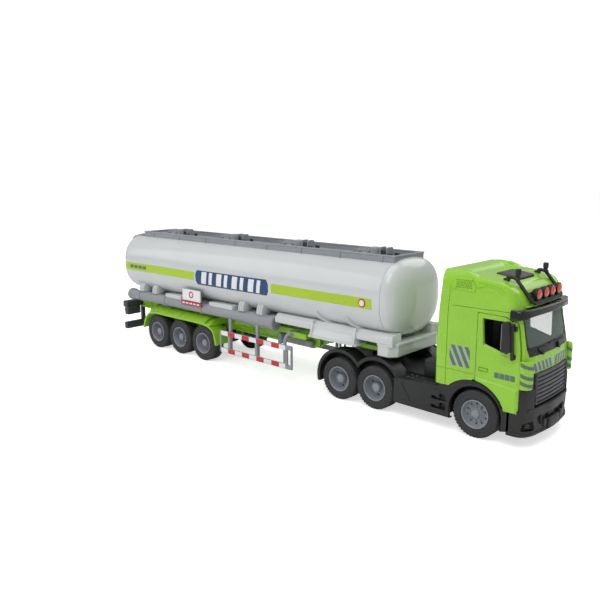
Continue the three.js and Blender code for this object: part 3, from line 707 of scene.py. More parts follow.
def sticker(outlines, view, surface, sign, low=-0.1, high=0.14, step=3.0):
    """A thin sheet cut to the outlines and laid on a surface, on the side that sign gives along the view."""
    bm = plate(outlines, 0, 1, view, edge=0)
    depth = DEPTH_AXIS[view]
    for axis in {0, 1, 2} - {depth}:
        first, last = axis_extent(bm, axis)
        count = int((last - first) / step)
        slice_at(bm, axis, [first + (last - first) * k / (count + 1) for k in range(1, count + 1)])
    direction = Vector((0, 0, 0))
    direction[depth] = -sign
    for vert in bm.verts:
        start = vert.co.copy()
        start[depth] = sign * 400  # well outside the truck
        hit, normal = surface.ray_cast(start, direction)[:2]
        if hit is None:
            hit, normal = surface.find_nearest(vert.co)[:2]
        lift = high if vert.co[depth] > 0.5 else low
        vert.co = hit + normal * lift
    bmesh.ops.recalc_face_normals(bm, faces=bm.faces)
    return bm


def ribbon(points, width):
    """A narrow outline along a line."""
    left, right = [], []
    for i, point in enumerate(points):
        a = Vector(points[max(i - 1, 0)])
        b = Vector(points[min(i + 1, len(points) - 1)])
        along = (b - a).normalized()
        across = Vector((-along.y, along.x)) * width / 2
        left.append(tuple(Vector(point) + across))
        right.append(tuple(Vector(point) - across))
    return left + right[::-1]


def groove(points, width, depth):
    """A thin cutter along a line in side view, that goes in by the depth from the left side."""
    return plate([ribbon(points, width)], BODY_SIDE - depth, 45, "side", edge=0)


# ------------------------------------------------------------------ cab

# the cab in side view: front and rear lines up the body, then the roof line with its raised crest
CAB_FRONT_LINE = [(22, 238.4), (43, 238.4), (56, 238.2), (62, 237.4), (90, 231.6), (97, 229.9), (121, 225)]
CAB_REAR_LINE = [(22, 167.2), (66, 166.4), (93, 168.0), (121, 170.8)]
ROOF_LINE = [
    (150, 20), (150, 118.2), (172, 118.2), (179.6, 118.1), (182, 117.4), (187.5, 114.8), (200, 114.6),
    (213, 112.8), (220, 110.4), (224.4, 106.6), (227.2, 102), (229, 97), (260, 97), (260, 20),
]
ROOF_EAR = [(172.6, 105), (172.6, 118.9), (180, 118.9), (189, 118.0), (194, 116.9), (199, 112), (199, 105)]
CAB_TURN = [(0, 4), (0.4, 14), (1.3, 25), (2.7, 33), (4.4, 36.4), (7.4, BODY_SIDE)]  # (back, half width)
CAB_FRONT = [
    (BODY_SIDE, 20), (BODY_SIDE, 98), (BODY_SIDE - 0.3, 106), (BODY_SIDE - 1.0, 112), (BODY_SIDE - 2.2, 116),
    (BODY_SIDE - 3.6, 119.4), (8, 119.6),
]


def along(line, z):
    """The value of a (z, value) line at a height."""
    for (z0, a), (z1, b) in zip(line, line[1:]):
        if z <= z1:
            return a + (b - a) * (z - z0) / (z1 - z0)
    return line[-1][1]


def cab_form(margin):
    """The cab's outer form, drawn in by the margin: a round front swept up the body, then cut to the roof."""
    rings = []
    for z in (22, 43, 56, 62, 70, 80, 90, 97, 104, 112, 121 - margin):
        front, rear = along(CAB_FRONT_LINE, z) - margin, along(CAB_REAR_LINE, z) + margin
        half = [(front - back, min(y, BODY_SIDE) * (1 - margin / BODY_SIDE)) for back, y in CAB_TURN]
        half += [(rear + 2, BODY_SIDE - margin), (rear, BODY_SIDE - 2 - margin)]
        rings.append([(x, y, z) for x, y in half] + [(x, -y, z) for x, y in reversed(half)])
    body = skin(rings)
    ears = []
    for side in (1, -1) if margin == 0 else ():
        ears.append(side_shape([rounded(ROOF_EAR, 1.5)], side, 30.6, 37.4))
    roof = plate([[(x, z - margin if z > 90 else z) for x, z in ROOF_LINE]], -60, 60, "side", edge=0)
    front = plate([mirrored_u([(y - margin, z - margin) for y, z in CAB_FRONT])], 150, 260, "front", edge=0)
    form = combined(body, roof, operation="INTERSECT")
    if ears:
        form = combined(form, *ears, operation="UNION")
    return combined(form, front, operation="INTERSECT")


def side_shape(outlines, side, low, high):
    """A sharp side-view plate standing between two distances from the middle, on one side."""
    return plate(outlines, *sorted((side * low, side * high)), "side", edge=0)


def tapered(inner, inner_depth, outer, outer_depth):
    """A side-view solid that changes from one outline to another across its depth."""
    return skin([[(u, inner_depth, v) for u, v in inner], [(u, outer_depth, v) for u, v in outer]])


CAB_OUTER = softened(cab_form(0), 1.0, 5)
CAB_SURFACE = BVHTree.FromBMesh(CAB_OUTER)


def door_outline(grow, front_grow):
    rear, front, top = DOOR_LOW.x, DOOR_HIGH.x, DOOR_HIGH.z
    lower = arc(ARCH["x"], ARCH["z"], ARCH["radius"] + 0.35 - grow, 78, 28, 8)
    raked = [(front, DOOR_LOW.z - grow), (front, 60), (front - 0.8, 70), (front - 2.9, 82.8),
             (front - 4.4, 87.2 + grow), (front - 8.4, 88.4 + grow), (front - 12, top - 0.4 + grow)]
    return rounded([
        (rear - grow, 42.5 - grow), *lower, *[(x + front_grow, z) for x, z in raked],
        (rear - grow, top + grow),
    ], 0.8, 3)


def windscreen_outline(grow):
    return rounded(mirrored_u([(32.6 + grow, 62.4 - grow), (34.4 + grow, 70), (33.8 + grow, 96 + grow)]), 2.5,
                   4)


SIDE_WINDOW = rounded([(202.6, 87.6), (204.2, 69.2), (221.6, 64.2), (221.0, 86.2), (219.6, 87.4)], 1.2)
SIDE_WINDOW_SILL = rounded([(202.6, 87.6), (203.9, 67.3), (223.0, 61.8), (221.0, 86.2), (219.6, 87.4)], 1.2)


VENT = [(178.6, 104.6), (180.6, 105.4), (195.6, 104.6), (196.6, 107.2), (193.2, 113.2), (182.2, 113.9),
        (178.8, 112.6)]
SWAGE = [(197.4, 107.4), (197, 110.6), (206, 110.4), (213, 109), (219.6, 105), (212.6, 107.9), (205, 109.4)]


def honeycomb(low_u, high_u, low_v, high_v, pitch, radius):
    """Hexagons in staggered rows."""
    cells = []
    row = 0
    v = low_v + radius
    while v < high_v - radius:
        u = low_u + radius + (pitch / 2 if row % 2 else 0)
        while u < high_u - radius:
            cells.append(arc(u, v, radius, 30, 330, 5))
            u += pitch
        v += pitch * 0.866
        row += 1
    return cells


CORNER_PANEL = [(231.95, 37.2), (231.95, 38.4), (234.3, 38.2), (236.5, 36.7), (237.6, 34.6), (238.1, 32.6),
                (236.0, 32.0), (235.0, 34), (233.6, 36.2)]


def make_cab_shell():
    seams = [
        groove([(175.9, 20), (176.2, 90), (178.0, 115)], 0.45, 0.55),
        groove([(179.6, 93.4), (231, 93.8)], 0.4, 0.55),
        groove([(160, 47.1), (198.6, 46.7)], 0.3, 0.3),
    ]
    hatch = panel(rectangle(197.6, 216.4, -13.4, 13.4), 1.5, 108, 125, "plan", edge=0)
    shell = combined(
        CAB_OUTER.copy(), cab_form(CAB_WALL),
        plate([windscreen_outline(0)], 226, 245, "front", edge=0),
        merged(*[side_shape([door_outline(0.35, 0.8)], s, 32, 60) for s in (1, -1)]),
        plate([circle(ARCH["x"], ARCH["z"], ARCH["radius"], 96)], -60, 60, "side", edge=0),
        block(197, 260, -60, 60, 10, 43, edge=0),
        block(150, 197.5, -60, 60, 10, 34.5, edge=0),
        block(169.4, 232, -35.8, 35.8, 20, 44, edge=0),
        block(228, 260, -27.4, 27.4, 40, 52.4, edge=0),
        hatch,
        *[both_sides(seam) for seam in seams],
    )
    cells = honeycomb(181.6, 194.2, 106.2, 112.6, 1.45, 0.5)
    pads = [sticker([rounded(VENT, 0.8), *cells], "side", CAB_SURFACE, s, -0.3, 0.55, 4) for s in (1, -1)]
    swages = [sticker([rounded(SWAGE, 0.8)], "side", CAB_SURFACE, s, -0.3, 0.3, 3) for s in (1, -1)]
    corners = [panel([(x, s * y) for x, y in CORNER_PANEL][::s], 0.5, 42.8, 62.4, "plan", edge=0.7, steps=3)
               for s in (1, -1)]
    lip = plate([mirrored_v([(228.6, 29), (230.6, 28.4), (231.6, 12)])], 96.6, 97.4, "plan", edge=0.25)
    whole = merged(shell, *pads, *swages, *corners, lip)
    make_piece("cab_body", whole, "tractor", LIME, ["cab_shell"])


make_cab_shell()


def make_doors():
    """Each door is cut from the cab's own form, with a sloping sill and a thicker lower panel."""
    wall = combined(CAB_OUTER.copy(), cab_form(CAB_WALL))
    door = combined(wall, plate([door_outline(0, 0)], 25, 60, "side", edge=0), operation="INTERSECT")
    handle = block(201.6, 208.9, BODY_SIDE - 0.7, BODY_SIDE + 1, 49.6, 52.9, edge=0.3)
    sill = tapered(SIDE_WINDOW, BODY_SIDE - 1.5, SIDE_WINDOW_SILL, BODY_SIDE + 0.3)
    door = combined(door, plate([SIDE_WINDOW], 20, 60, "side", edge=0), sill, handle)
    arch = arc(ARCH["x"], ARCH["z"], ARCH["radius"] + 0.9, 31, 76, 10)
    swell = [(199.6, 45.2), (210, 44.6), (221, 43.7), (230.8, 42.7), (230.8, 25.1), (221.6, 25.1)] + arch
    crest = [(200.0, 43.9), (210, 43.2), (221, 42.2), (230.2, 41.1), (230.2, 25.9), (221.9, 25.9)]
    crest += arc(ARCH["x"], ARCH["z"], ARCH["radius"] + 1.5, 31, 75, 10)
    lower = tapered(swell, BODY_SIDE - 0.15, crest, BODY_SIDE + 1.35)
    grip = block(202.3, 208.2, BODY_SIDE - 0.9, BODY_SIDE + 0.2, 51.0, 52.3, edge=0.25)
    whole = merged(door, lower, grip)
    for name, side in SIDES.items():
        make_piece(f"door_panel_{name}", on_side(whole.copy(), side), f"door_{name}", LIME, [f"door_{name}"])
        housing = panel([(219.9, 67.4), (226.0, 67.6), (226.2, 70), (225.0, 87.4), (223.4, 88.6),
                         (219.9, 88)], 1.2, 39.9, 45.2, "side", edge=0.9, steps=3)
        glass = block(219.72, 220.6, 41.0, 44.2, 69.4, 86.6, edge=0.1)
        arm = tube([(225.4, 37.4, 85.4), (225.2, 40.6, 86), (225.6, 40.8, 84), (226.6, 40.6, 66),
                    (226.4, 40, 63.2), (226.2, 37.4, 64)], 1.25, smooth=False, resolution=4)
        feet = [block(224.2, 228, BODY_SIDE - 1.4, BODY_SIDE + 0.7, z - 1.7, z + 1.7, edge=0.4)
                for z in (64.2, 83.4)]
        ribs = [block(221.2, 225.6, 44.9, 45.45, z, z + 0.6, edge=0.15) for z in (70.5, 72.3, 74.1)]
        mirror = merged(housing, arm, *feet, *ribs)
        make_piece(f"mirror_housing_{name}", on_side(mirror, side), f"door_{name}", BLACK, [f"mirror_{name}"])
        make_piece(f"mirror_glass_{name}", on_side(glass, side), f"door_{name}", STEEL)


make_doors()


def make_windscreen():
    glass = sticker([windscreen_outline(-0.35)], "front", CAB_SURFACE, 1, -1.3, -0.45, 2.5)
    make_piece("windscreen_glass", glass, "tractor", CLEAR, ["windscreen"], angle=60)
    inner = rounded(mirrored_u([(30.6, 68.2), (32.6, 73), (32.0, 93.6)]), 2.5)
    band = sticker([windscreen_outline(-0.5), inner], "front", CAB_SURFACE, 1, -0.5, -0.2, 3)
    wipers = []
    for pivot, tip, end in ((-15.5, -33, -9), (11, -3.5, 23.5)):
        middle = (tip + end) / 2
        for outline, low, high in (
            (ribbon([(tip, 69.3), (middle, 68.5), (end, 68.1)], 0.8), -0.2, 0.8),
            (ribbon([(pivot, 64.8), (middle, 68.6)], 1.0), -0.3, 1.1),
            (circle(pivot, 64.9, 1.5, 14), -0.3, 1.2),
        ):
            wipers.append(sticker([outline], "front", CAB_SURFACE, 1, low, high, 3))
    make_piece("windscreen_surround", merged(band, *wipers), "tractor", GLAZING_BLACK)


make_windscreen()


def bow(bm, amount):
    """Bends a front-facing part so that its middle stands forward by the amount."""
    half_width, step = 27.0, 4.5
    first, last = axis_extent(bm, 1)
    slice_at(bm, 1, [first + k * step for k in range(1, int((last - first) / step) + 1)])
    for vert in bm.verts:
        vert.co.x -= amount * (vert.co.y / half_width) ** 2
    return bm


def make_grille():
    """A framed field of flat slats with three upright ribs and a row of studs down each side."""
    low, high = box_mm("grille")
    half, bottom, top = high.y, low.z, high.z
    outer = rounded(mirrored_u([(half - 1.4, bottom), (half, top)]), 1.2)
    inner = rounded(mirrored_u([(half - 3.6, bottom + 1.6), (half - 2.4, top - 1.6)]), 0.8)
    surround = plate([outer, inner], 236.6, 239.3, "front", edge=0.5)
    backing = block(234.8, 236.6, -half + 1, half - 1, bottom, top)
    slat_end = half - 1.8
    slats = [block(236.2, 238.8, -slat_end, slat_end, z, z + 2.3, edge=0.5)
             for z in [bottom + 2.0 + 2.9 * i for i in range(7)]]
    studs = [block(238.9, 239.6, s * slat_end - 0.45, s * slat_end + 0.45, z, z + 2.0, edge=0.2)
             for z in [bottom + 3.4 + 4.0 * i for i in range(5)] for s in (1, -1)]
    ribs = [block(236.2, 238.3, y - 0.4, y + 0.4, bottom + 1, top - 1, edge=0.15) for y in (-13, 0, 13)]
    whole = merged(surround, backing, *slats, *studs, *ribs)
    make_piece("grille_slats", bow(whole, 1.2), "tractor", DARK_GREY, ["grille"])


make_grille()


def make_visor():
    """A deep smoked shade that wraps round the top of the windscreen."""
    plan = [(223.0, 38.6), (228.2, 38.4), (231.2, 36.2), (232.8, 31.6), (234.2, 20), (234.8, 9), (235.0, 0)]
    path = bent_path([Vector(p) for p in plan] + [Vector((x, -y)) for x, y in plan[-2::-1]], 1.8, 5)
    rings = []
    for i, point in enumerate(path):
        ahead = (path[min(i + 1, len(path) - 1)] - path[max(i - 1, 0)]).normalized()
        out = Vector((-ahead.y, ahead.x))
        if out.dot(Vector((point.x - 205, point.y))) < 0:
            out = -out
        front = min(1, max(0, (point.x - 228) / 6))
        droop = 88.7 + 2.4 * front
        deep = 0.8 + 3.6 * front  # how far the top reaches back to the body
        section = [
            (-deep, 96.0), (-0.6, 95.8), (0.2, 95.2), (0.7, 93.8), (0.9 + 0.2 * front, droop + 0.4),
            (0.5, droop), (0.0, droop + 0.3), (-0.3, 93.4), (-deep, 94.8),
        ]
        rings.append([(point.x + out.x * d, point.y + out.y * d, z) for d, z in section])
    shade = skin(rings)
    brackets = [block(229.0, 234.4, y - 1.2, y + 1.2, 95.0, 96.4, edge=0.4) for y in (-19.5, 0, 19.5)]
    edge_line = [Vector((p.x, p.y, 95.6)) for p in path[3:-3]]
    brackets.append(tube(edge_line, 0.55, smooth=False, resolution=3))
    make_piece("visor_shade", merged(shade, *brackets), "tractor", SMOKED, ["sun_visor"], angle=35)


make_visor()


def make_roof():
    """The bar with its two arms, four lamps and two beacons, and the hatch behind it."""
    beacon = [(0, 0), (2.2, 0), (2.2, 1.0), (1.5, 1.5), (1.5, 2.6), (1.95, 2.9), (1.95, 6.2), (1.7, 6.6),
              (0, 6.7)]
    cup = [(0, -2.2), (2.4, -2.2), (3.5, -0.8), (4.1, 1.6), (4.15, 2.6), (3.6, 2.7), (3.4, 1.9), (0, 1.9)]
    lens = [(0, 1.6), (3.3, 1.6), (3.35, 2.6), (2.6, 3.4), (1.4, 3.85), (0, 4.0)]
    lamps_y = (-16.8, -5.3, 5.3, 16.8)
    lamp_z, lamp_x = 104.6, 229.8
    black, lenses = [], []
    for side in (1, -1):
        black.append(tube([
            (212.6, side * 24.6, 113.6), (213.2, side * 24.6, 115.2), (218.2, side * 24.0, 115.2),
            (230.6, side * 24.2, 100.6), (231.6, side * 22.4, 99.2), (232.0, side * 19, 99.0),
        ], 1.25, bend=2.2))
        black.append(block(210.4, 214.4, side * 24.6 - 1.7, side * 24.6 + 1.7, 112.4, 114.4, edge=0.5))
        black.append(turned_at(beacon, (219.2, side * 22.4, 114.4), 28))
    black.append(tube([(231.6, -21.5, 99.1), (232.9, 0, 99.1), (231.6, 21.5, 99.1)], 1.25, bend=9))
    black.append(tube([(227.0, -23.6, 105.0), (229.0, 0, 105.0), (227.0, 23.6, 105.0)], 0.8, bend=9))
    for y in lamps_y:
        black.append(turned_at(cup, (lamp_x, y, lamp_z), 32, "X"))
        black.append(block(lamp_x - 0.6, lamp_x + 1.4, y - 1.1, y + 1.1, 99.6, lamp_z - 3.2, edge=0.3))
        lenses.append(turned_at(lens, (lamp_x, y, lamp_z), 32, "X"))
    make_piece("light_bar_tube", merged(*black), "tractor", BLACK, ["light_bar"])
    make_piece("lamp_lenses", merged(*lenses), "tractor", LENS, ["roof_lamp_lenses"])

    slope = math.atan2(-2.2, 18)
    lid = merged(
        panel(rectangle(-9, 9, -13, 13), 1.4, -1.6, 0.4, "plan", edge=0.5),
        panel(rectangle(-7.6, 7.6, -11.6, 11.6), 1.2, -0.6, 0.75, "plan", edge=0.3),
        *[block(x - 0.35, x + 0.35, -9.5, 9.5, 0.3, 1.0, edge=0.2) for x in (-4, 0, 4)],
    )
    lid.transform(Matrix.Translation((207, 0, 114.2)) @ Matrix.Rotation(-slope, 4, "Y"))
    make_piece("hatch_lid", lid, "tractor", DARK_GREY, ["roof_hatch"])


make_roof()


def make_cab_prints():
    """Printed bars: slanting behind the door, corner bars, chevrons under the windscreen, door blocks."""
    bars, ground = [], []
    patch = (178.7, 194.6, 50.2, 65.2)
    for side in (1, -1):
        ground.append(sticker([rectangle(*patch)], "side", CAB_SURFACE, side, -0.1, 0.07, 4))
        for i in range(-1, 3):
            u, top, drop = 179.5 + 5.3 * i, 65.0, 15
            slant = [(u, top), (u + 3.0, top), (u + 3.0 + drop / 2, top - drop), (u + drop / 2, top - drop)]
            bars.append(sticker([clipped(slant, *patch)], "side", CAB_SURFACE, side, step=20))
        for z in (57.0, 49.8, 44.8):
            bars.append(corner_bar(side, z))
        low, high = 53.2, 59.4
        field = [(side * 0.6, low), (side * 26.5, low), (side * 29.6, high), (side * 1.6, high)]
        ground.append(sticker([field], "front", CAB_SURFACE, 1, -0.1, 0.07, step=2))
        for u in [2.2 + 5.2 * i for i in range(5)]:
            chevron = [(side * u, low), (side * (u + 2.8), low), (side * (u + 5.0), high),
                       (side * (u + 2.6), high)]
            bars.append(sticker([chevron], "front", CAB_SURFACE, 1, step=2))
    make_piece("cab_print_ground", merged(*ground), "tractor", PRINT["silver"], angle=60)
    make_piece("cab_print_bars", merged(*bars), "tractor", PRINT["dark"], angle=60)
    for name, side in SIDES.items():
        flat = BVHTree.FromBMesh(side_block(side, 190, 240, BODY_SIDE - 3, BODY_SIDE, 20, 90, edge=0))
        label = []
        for i, u in enumerate((213.6, 217.4, 221.2, 225.0)):
            outline = [(u, 47.6), (u + 3.3, 47.4), (u + 3.3, 51.2), (u, 51.4)]
            label.append(sticker([[(u, v - 0.08 * i) for u, v in outline]], "side", flat, side))
        make_piece(f"door_print_{name}", merged(*label), f"door_{name}", PRINT["dark"], angle=60)


def corner_bar(side, z):
    """A bar that follows the corner panel round, dropping towards the front."""
    middle = Vector((235.2, 35.6))
    grown = [middle + 1.09 * (Vector(p) - middle) for p in CORNER_PANEL]
    sheath = panel([(p.x, side * p.y) for p in grown][::side], 0.5, z - 4, z + 6, "plan", edge=0.1)
    slab = side_shape([[(232.3, z + 2.0), (239, z - 0.6), (239, z + 1.6), (232.3, z + 4.6)]], side, 30, 42)
    return combined(sheath, slab, operation="INTERSECT")


def clipped(points, u0, u1, v0, v1):
    """The outline cut to a rectangle."""
    for axis, limit, keep_below in ((0, u0, False), (0, u1, True), (1, v0, False), (1, v1, True)):
        kept = []
        for i, current in enumerate(points):
            previous = points[i - 1]
            inside = (current[axis] <= limit) == keep_below or current[axis] == limit
            was_inside = (previous[axis] <= limit) == keep_below or previous[axis] == limit
            if inside != was_inside:
                t = (limit - previous[axis]) / (current[axis] - previous[axis])
                kept.append(tuple(p + t * (c - p) for p, c in zip(previous, current)))
            if inside:
                kept.append(current)
        points = kept
    return points


make_cab_prints()


# ------------------------------------------------------------------ tractor underside

FENDER_X = (AXLE["rear"].x, AXLE["drive"].x)
FENDER = {"outer": 24.2, "inner": 21.9, "side": 36, "inside": 21}


def fender_outline(radius, end_z):
    """The double arch in side view, rear to front."""
    half = (FENDER_X[1] - FENDER_X[0]) / 2
    meet = math.degrees(math.acos(half / radius))
    dip = math.degrees(math.asin((WHEEL_RADIUS - end_z) / radius))
    return (arc(FENDER_X[0], WHEEL_RADIUS, radius, 180 + dip, meet, 24)
            + arc(FENDER_X[1], WHEEL_RADIUS, radius, 180 - meet, 28, 22)[1:])


def make_lower_body():
    """Skirts with their step recesses, double-arch fenders, deck, turntable, sound box and bumper."""
    parts = []
    outer = fender_outline(FENDER["outer"], 11.5)
    inner = fender_outline(FENDER["inner"], 11.5)
    arch = plate([rounded(outer + [(134.4, 27), (134.4, 12), (131.9, 12)] + inner[::-1], 0.8, 2)],
                 FENDER["inside"], FENDER["side"], "side", edge=0.45)
    lip = tube([(x, FENDER["side"] - 0.5, z) for x, z in outer], 0.75, smooth=False, resolution=3)
    wall = plate([rounded(inner + [(131.5, 22), (FENDER_X[0] - 21, 22)], 0.5, 1)], FENDER["inside"],
                 FENDER["inside"] + 1.4, "side", edge=0.2)
    fender_parts = [arch, lip, wall]
    for x in FENDER_X:
        for angle in (72, 80, 104, 112):
            rib = block(-0.55, 0.55, FENDER["inside"] + 0.6, FENDER["side"] - 1.4, FENDER["outer"] - 0.4,
                        FENDER["outer"] + 0.55, edge=0.3)
            lean = Matrix.Rotation(math.radians(90 - angle), 4, "Y")
            rib.transform(Matrix.Translation((x, 0, WHEEL_RADIUS)) @ lean)
            fender_parts.append(rib)

    steer_x = AXLE["steer"].x
    skirt_rim = [(131.6, 11), (steer_x - 19.5, 11)]
    skirt_rim += arc(steer_x, WHEEL_RADIUS, 20.6, 198, -18, 28)
    skirt_rim += [(steer_x + 19.5, 11), (226, 11.4), (226, 26.9), (218.4, 27.6)]
    skirt_rim += arc(ARCH["x"], ARCH["z"], ARCH["radius"] - 0.35, 28, 134, 24)
    skirt_rim += [(172, 34.1), (169, 32), (131.6, 30.3)]
    step = [(165.4, 0), (176.4, 0), (176.4, 3.6), (172.2, 3.6), (171.4, 1.4), (165.4, 1.4)]
    steps = [rounded([(x, z + low) for x, z in step], 0.4, 2) for low in (15.4, 22.2)]
    skirt = plate([rounded(skirt_rim, 0.9, 3), *steps], BODY_SIDE - 3, BODY_SIDE, "side", edge=0.45)
    backing = block(163, 179, BODY_SIDE - 4.4, BODY_SIDE - 2.9, 13, 28)
    arch_lip = tube([(x, BODY_SIDE - 0.4, z) for x, z in arc(steer_x, WHEEL_RADIUS, 21.1, 196, -16, 30)], 0.8,
                    smooth=False, resolution=3)
    band = panel([(134.6, 12.4), (162, 12.4), (160.4, 14.6), (136.8, 14.6)], 0.5, BODY_SIDE - 0.6,
                 BODY_SIDE + 0.35, "side", edge=0.3)
    fold = panel([(132.2, 28.9), (168, 30.6), (168, 29.2), (139.5, 27.6), (148.6, 12.2), (147.2, 12.2),
                  (137.6, 26.8)], 0.5, BODY_SIDE - 0.5, BODY_SIDE + 0.4, "side", edge=0.3)
    liner_line = arc(steer_x, WHEEL_RADIUS, 21.8, 190, -10, 20)
    liner_line += arc(steer_x, WHEEL_RADIUS, 20.4, -10, 190, 20)
    liner = plate([rounded(liner_line, 0.3, 1)], 22, BODY_SIDE - 1, "side", edge=0.2)
    well = plate([arc(steer_x, WHEEL_RADIUS, 21.6, 0, 180, 24)], 20.4, 22.2, "side", edge=0.2)
    tray = block(131.6, 180, 20, BODY_SIDE - 1.5, 28.2, 30.6, edge=0.5)
    bulkhead = block(131.4, 134.2, 20, BODY_SIDE - 1, 12, 30.4, edge=0.4)
    side_parts = merged(*fender_parts, skirt, backing, arch_lip, fold, band, liner, well, tray, bulkhead)
    parts.append(both_sides(side_parts))

    parts.append(block(56, 228, -21.6, 21.6, 30, 33, edge=0.6))
    turntable = [(0, 31), (13, 31), (13, 41.2), (12.2, 42), (4.2, 42), (3.5, 41.2), (3.5, 33.5), (0, 33.5)]
    parts.append(turned_at(turntable, KINGPIN))
    parts.append(sound_box())
    bolt = [(0, 30), (1.5, 30), (1.5, 31.1), (1.0, 31.6), (0, 31.8)]
    for x, y in ((139.5, 25), (144, 25), (139.5, 31), (144, 31)):
        parts += [turned_at(bolt, (x, side * y, 0), 16) for side in (1, -1)]
    for side in (1, -1):
        parts.append(side_block(side, 149, 176, 23.5, 35, 30.2, 31.8, edge=0.6))
        parts.append(side_block(side, 60, 62.4, 13, 21, 32.6, 36.5, edge=0.5))
    for x in (62, 136, 186, 220):
        parts.append(turned_at([(0, 10), (3, 10), (3, 31), (0, 31)], (x, 0, 0), 20))
    parts.append(make_bumper())
    make_piece("lower_body", merged(*parts), "tractor", BLACK, ["tractor_lower_body"])


def sound_box():
    """The raised box behind the cab, with a speaker grid and a ring round each button."""
    rear, front, half, top = 148, 165, 22, 45
    box = block(rear, front, -half, half, 31, top, edge=1.3, segments=3)
    hollow = block(rear + 1.4, front - 1.4, 1.4 - half, half - 1.4, 29, top - 1.4, edge=0)
    bores = [rod(3.3, (156.5, s * 8, 40), (156.5, s * 8, 50), edge=0.05, segments=40) for s in (1, -1)]
    holes = [rod(0.6, (x, y, 40), (x, y, 50), edge=0.05, segments=12)
             for x in [152.6 + 3.9 * i for i in range(3)] for y in [-12.6 - 1.9 * j + 0.2 for j in range(5)]]
    cut_box = combined(box, hollow, merged(*bores, *holes))
    ring = [(3.35, top - 0.3), (4.6, top - 0.3), (4.5, top + 0.35), (3.5, top + 0.4)]
    return merged(cut_box, *[turned_at(ring, (156.5, s * 8, 0)) for s in (1, -1)])


BUMPER_PLAN = [(224, BODY_SIDE), (231.5, BODY_SIDE), (235.5, 35), (238.4, 28), (240, 14), (240.8, 4)]


def make_bumper():
    """The wrap-round bumper with corner lamp pockets, a long lower opening and a blank plate."""
    full = eased(mirrored_v(BUMPER_PLAN), 3.0, 4)
    lamp_pocket = [(25.5, 12.6), (36.6, 13.6), (35.4, 18.6), (27.5, 19.4)]
    fog_lamp = [(0, -1), (2.1, -1), (2.3, 0.6), (1.7, 1.2), (0, 1.3)]
    body = plate([full], 9.4, 42.6, "plan", edge=1.1, steps=3)
    body = combined(
        body,
        block(218, 234, 4 - BODY_SIDE, BODY_SIDE - 4, 0, 50, edge=0),
        block(232, 250, -27.4, 27.4, 28.4, 50, edge=0),
        panel(mirrored_u([(19.5, 15.4), (23.5, 21.8)]), 1, 238.2, 250, "front", edge=0),
        merged(*[panel([(s * y, z) for y, z in lamp_pocket][::s], 0.8, 233.5, 250, "front", edge=0)
                 for s in (1, -1)]),
        block(218, 231.9, -50, 50, 26.7, 50, edge=0),
    )
    parts = [body]
    inner = [(x - 3.6 if x > 228 else x, y * 0.93) for x, y in full]
    core = plate([inner], 10.2, 27, "plan", edge=0.3)
    parts.append(combined(core, block(218, 229, -34, 34, 0, 50, edge=0)))
    for side in (1, -1):
        corner = [(x, abs(y)) for x, y in full if y * side > 24 and x > 229]
        parts += [side_block(side, x - 1.9, x - 0.9, y - 1.4, y + 0.2, z, z + 0.7, edge=0.15)
                  for z in (13.9, 15.7, 17.4) for x, y in corner]
        parts.append(turned_at(fog_lamp, (235.0, side * 30.6, 16.2), 28, "X", turn=26 * side))
        parts.append(side_block(side, 237.4, 241.2, 11.6, 15.4, 12.4, 18.2, edge=0.6))
        parts.append(side_block(side, 236.8, 240.2, 17.6, 18.6, 15.4, 21.8, edge=0.3))
    lip = plate([[(x + 0.6 * (1 if x > 230 else 0), y * 1.004) for x, y in full]], 9.0, 11.4, "plan",
                edge=0.6)
    parts.append(combined(lip, block(218, 235, 4 - BODY_SIDE, BODY_SIDE - 4, 0, 50, edge=0)))
    parts.append(block(237.0, 241.9, -9.2, 9.2, 9.8, 17.4, edge=0.7))
    parts.append(block(241.4, 242.2, -8.0, 8.0, 11.0, 16.2, edge=0.25))
    parts.append(block(237.2, 239.4, -5.2, 5.2, 17.8, 20.4, edge=0.4))
    parts.append(plate([[(x + 0.5, y) for x, y in full if x > 236]], 26.2, 28.6, "plan", edge=0.5))
    parts.append(block(222.5, 238.6, -27, 27, 24.4, 28.2, edge=0.5))
    return merged(*parts)


make_lower_body()


def make_buttons():
    for name in ("light", "sound"):
        low, high = box_mm(f"{name}_button")
        middle = centre_mm(f"{name}_button")
        cap = turned_at([
            (0, low.z), (4.1, low.z), (4.1, low.z + 1.1), (3.0, low.z + 1.3), (3.0, high.z - 0.8),
            (2.7, high.z - 0.25), (2.2, high.z - 0.05), (1.6, high.z - 0.3), (0, high.z - 0.4),
        ], (middle.x, middle.y, 0))
        make_piece(f"{name}_button_cap", cap, f"{name}_button", DARK_GREY, [f"{name}_button"])


make_buttons()

for inner_node in (
    "tractor_chassis", "battery_cover", "button_cells", "sound_module", "motor_case", "flywheel",
    "drive_gear",
):
    finish_node(inner_node)
finish_node("cab_interior", material=CAB_TRIM)


# ------------------------------------------------------------------ tank

def tank_ring(x, scale=1.0):
    """The tank's oval section at x, scaled about its middle."""
    count = 128
    ring = []
    for i in range(count):
        angle = 2 * math.pi * (i + 0.5) / count
        c, s = math.cos(angle), math.sin(angle)
        y = BODY_SIDE * math.copysign(abs(c) ** (2 / TANK_POWER), c)
        z = TANK_HALF_HEIGHT * math.copysign(abs(s) ** (2 / TANK_POWER), s)
        ring.append((x, y * scale, TANK_MIDDLE_Z + z * scale))
    return ring


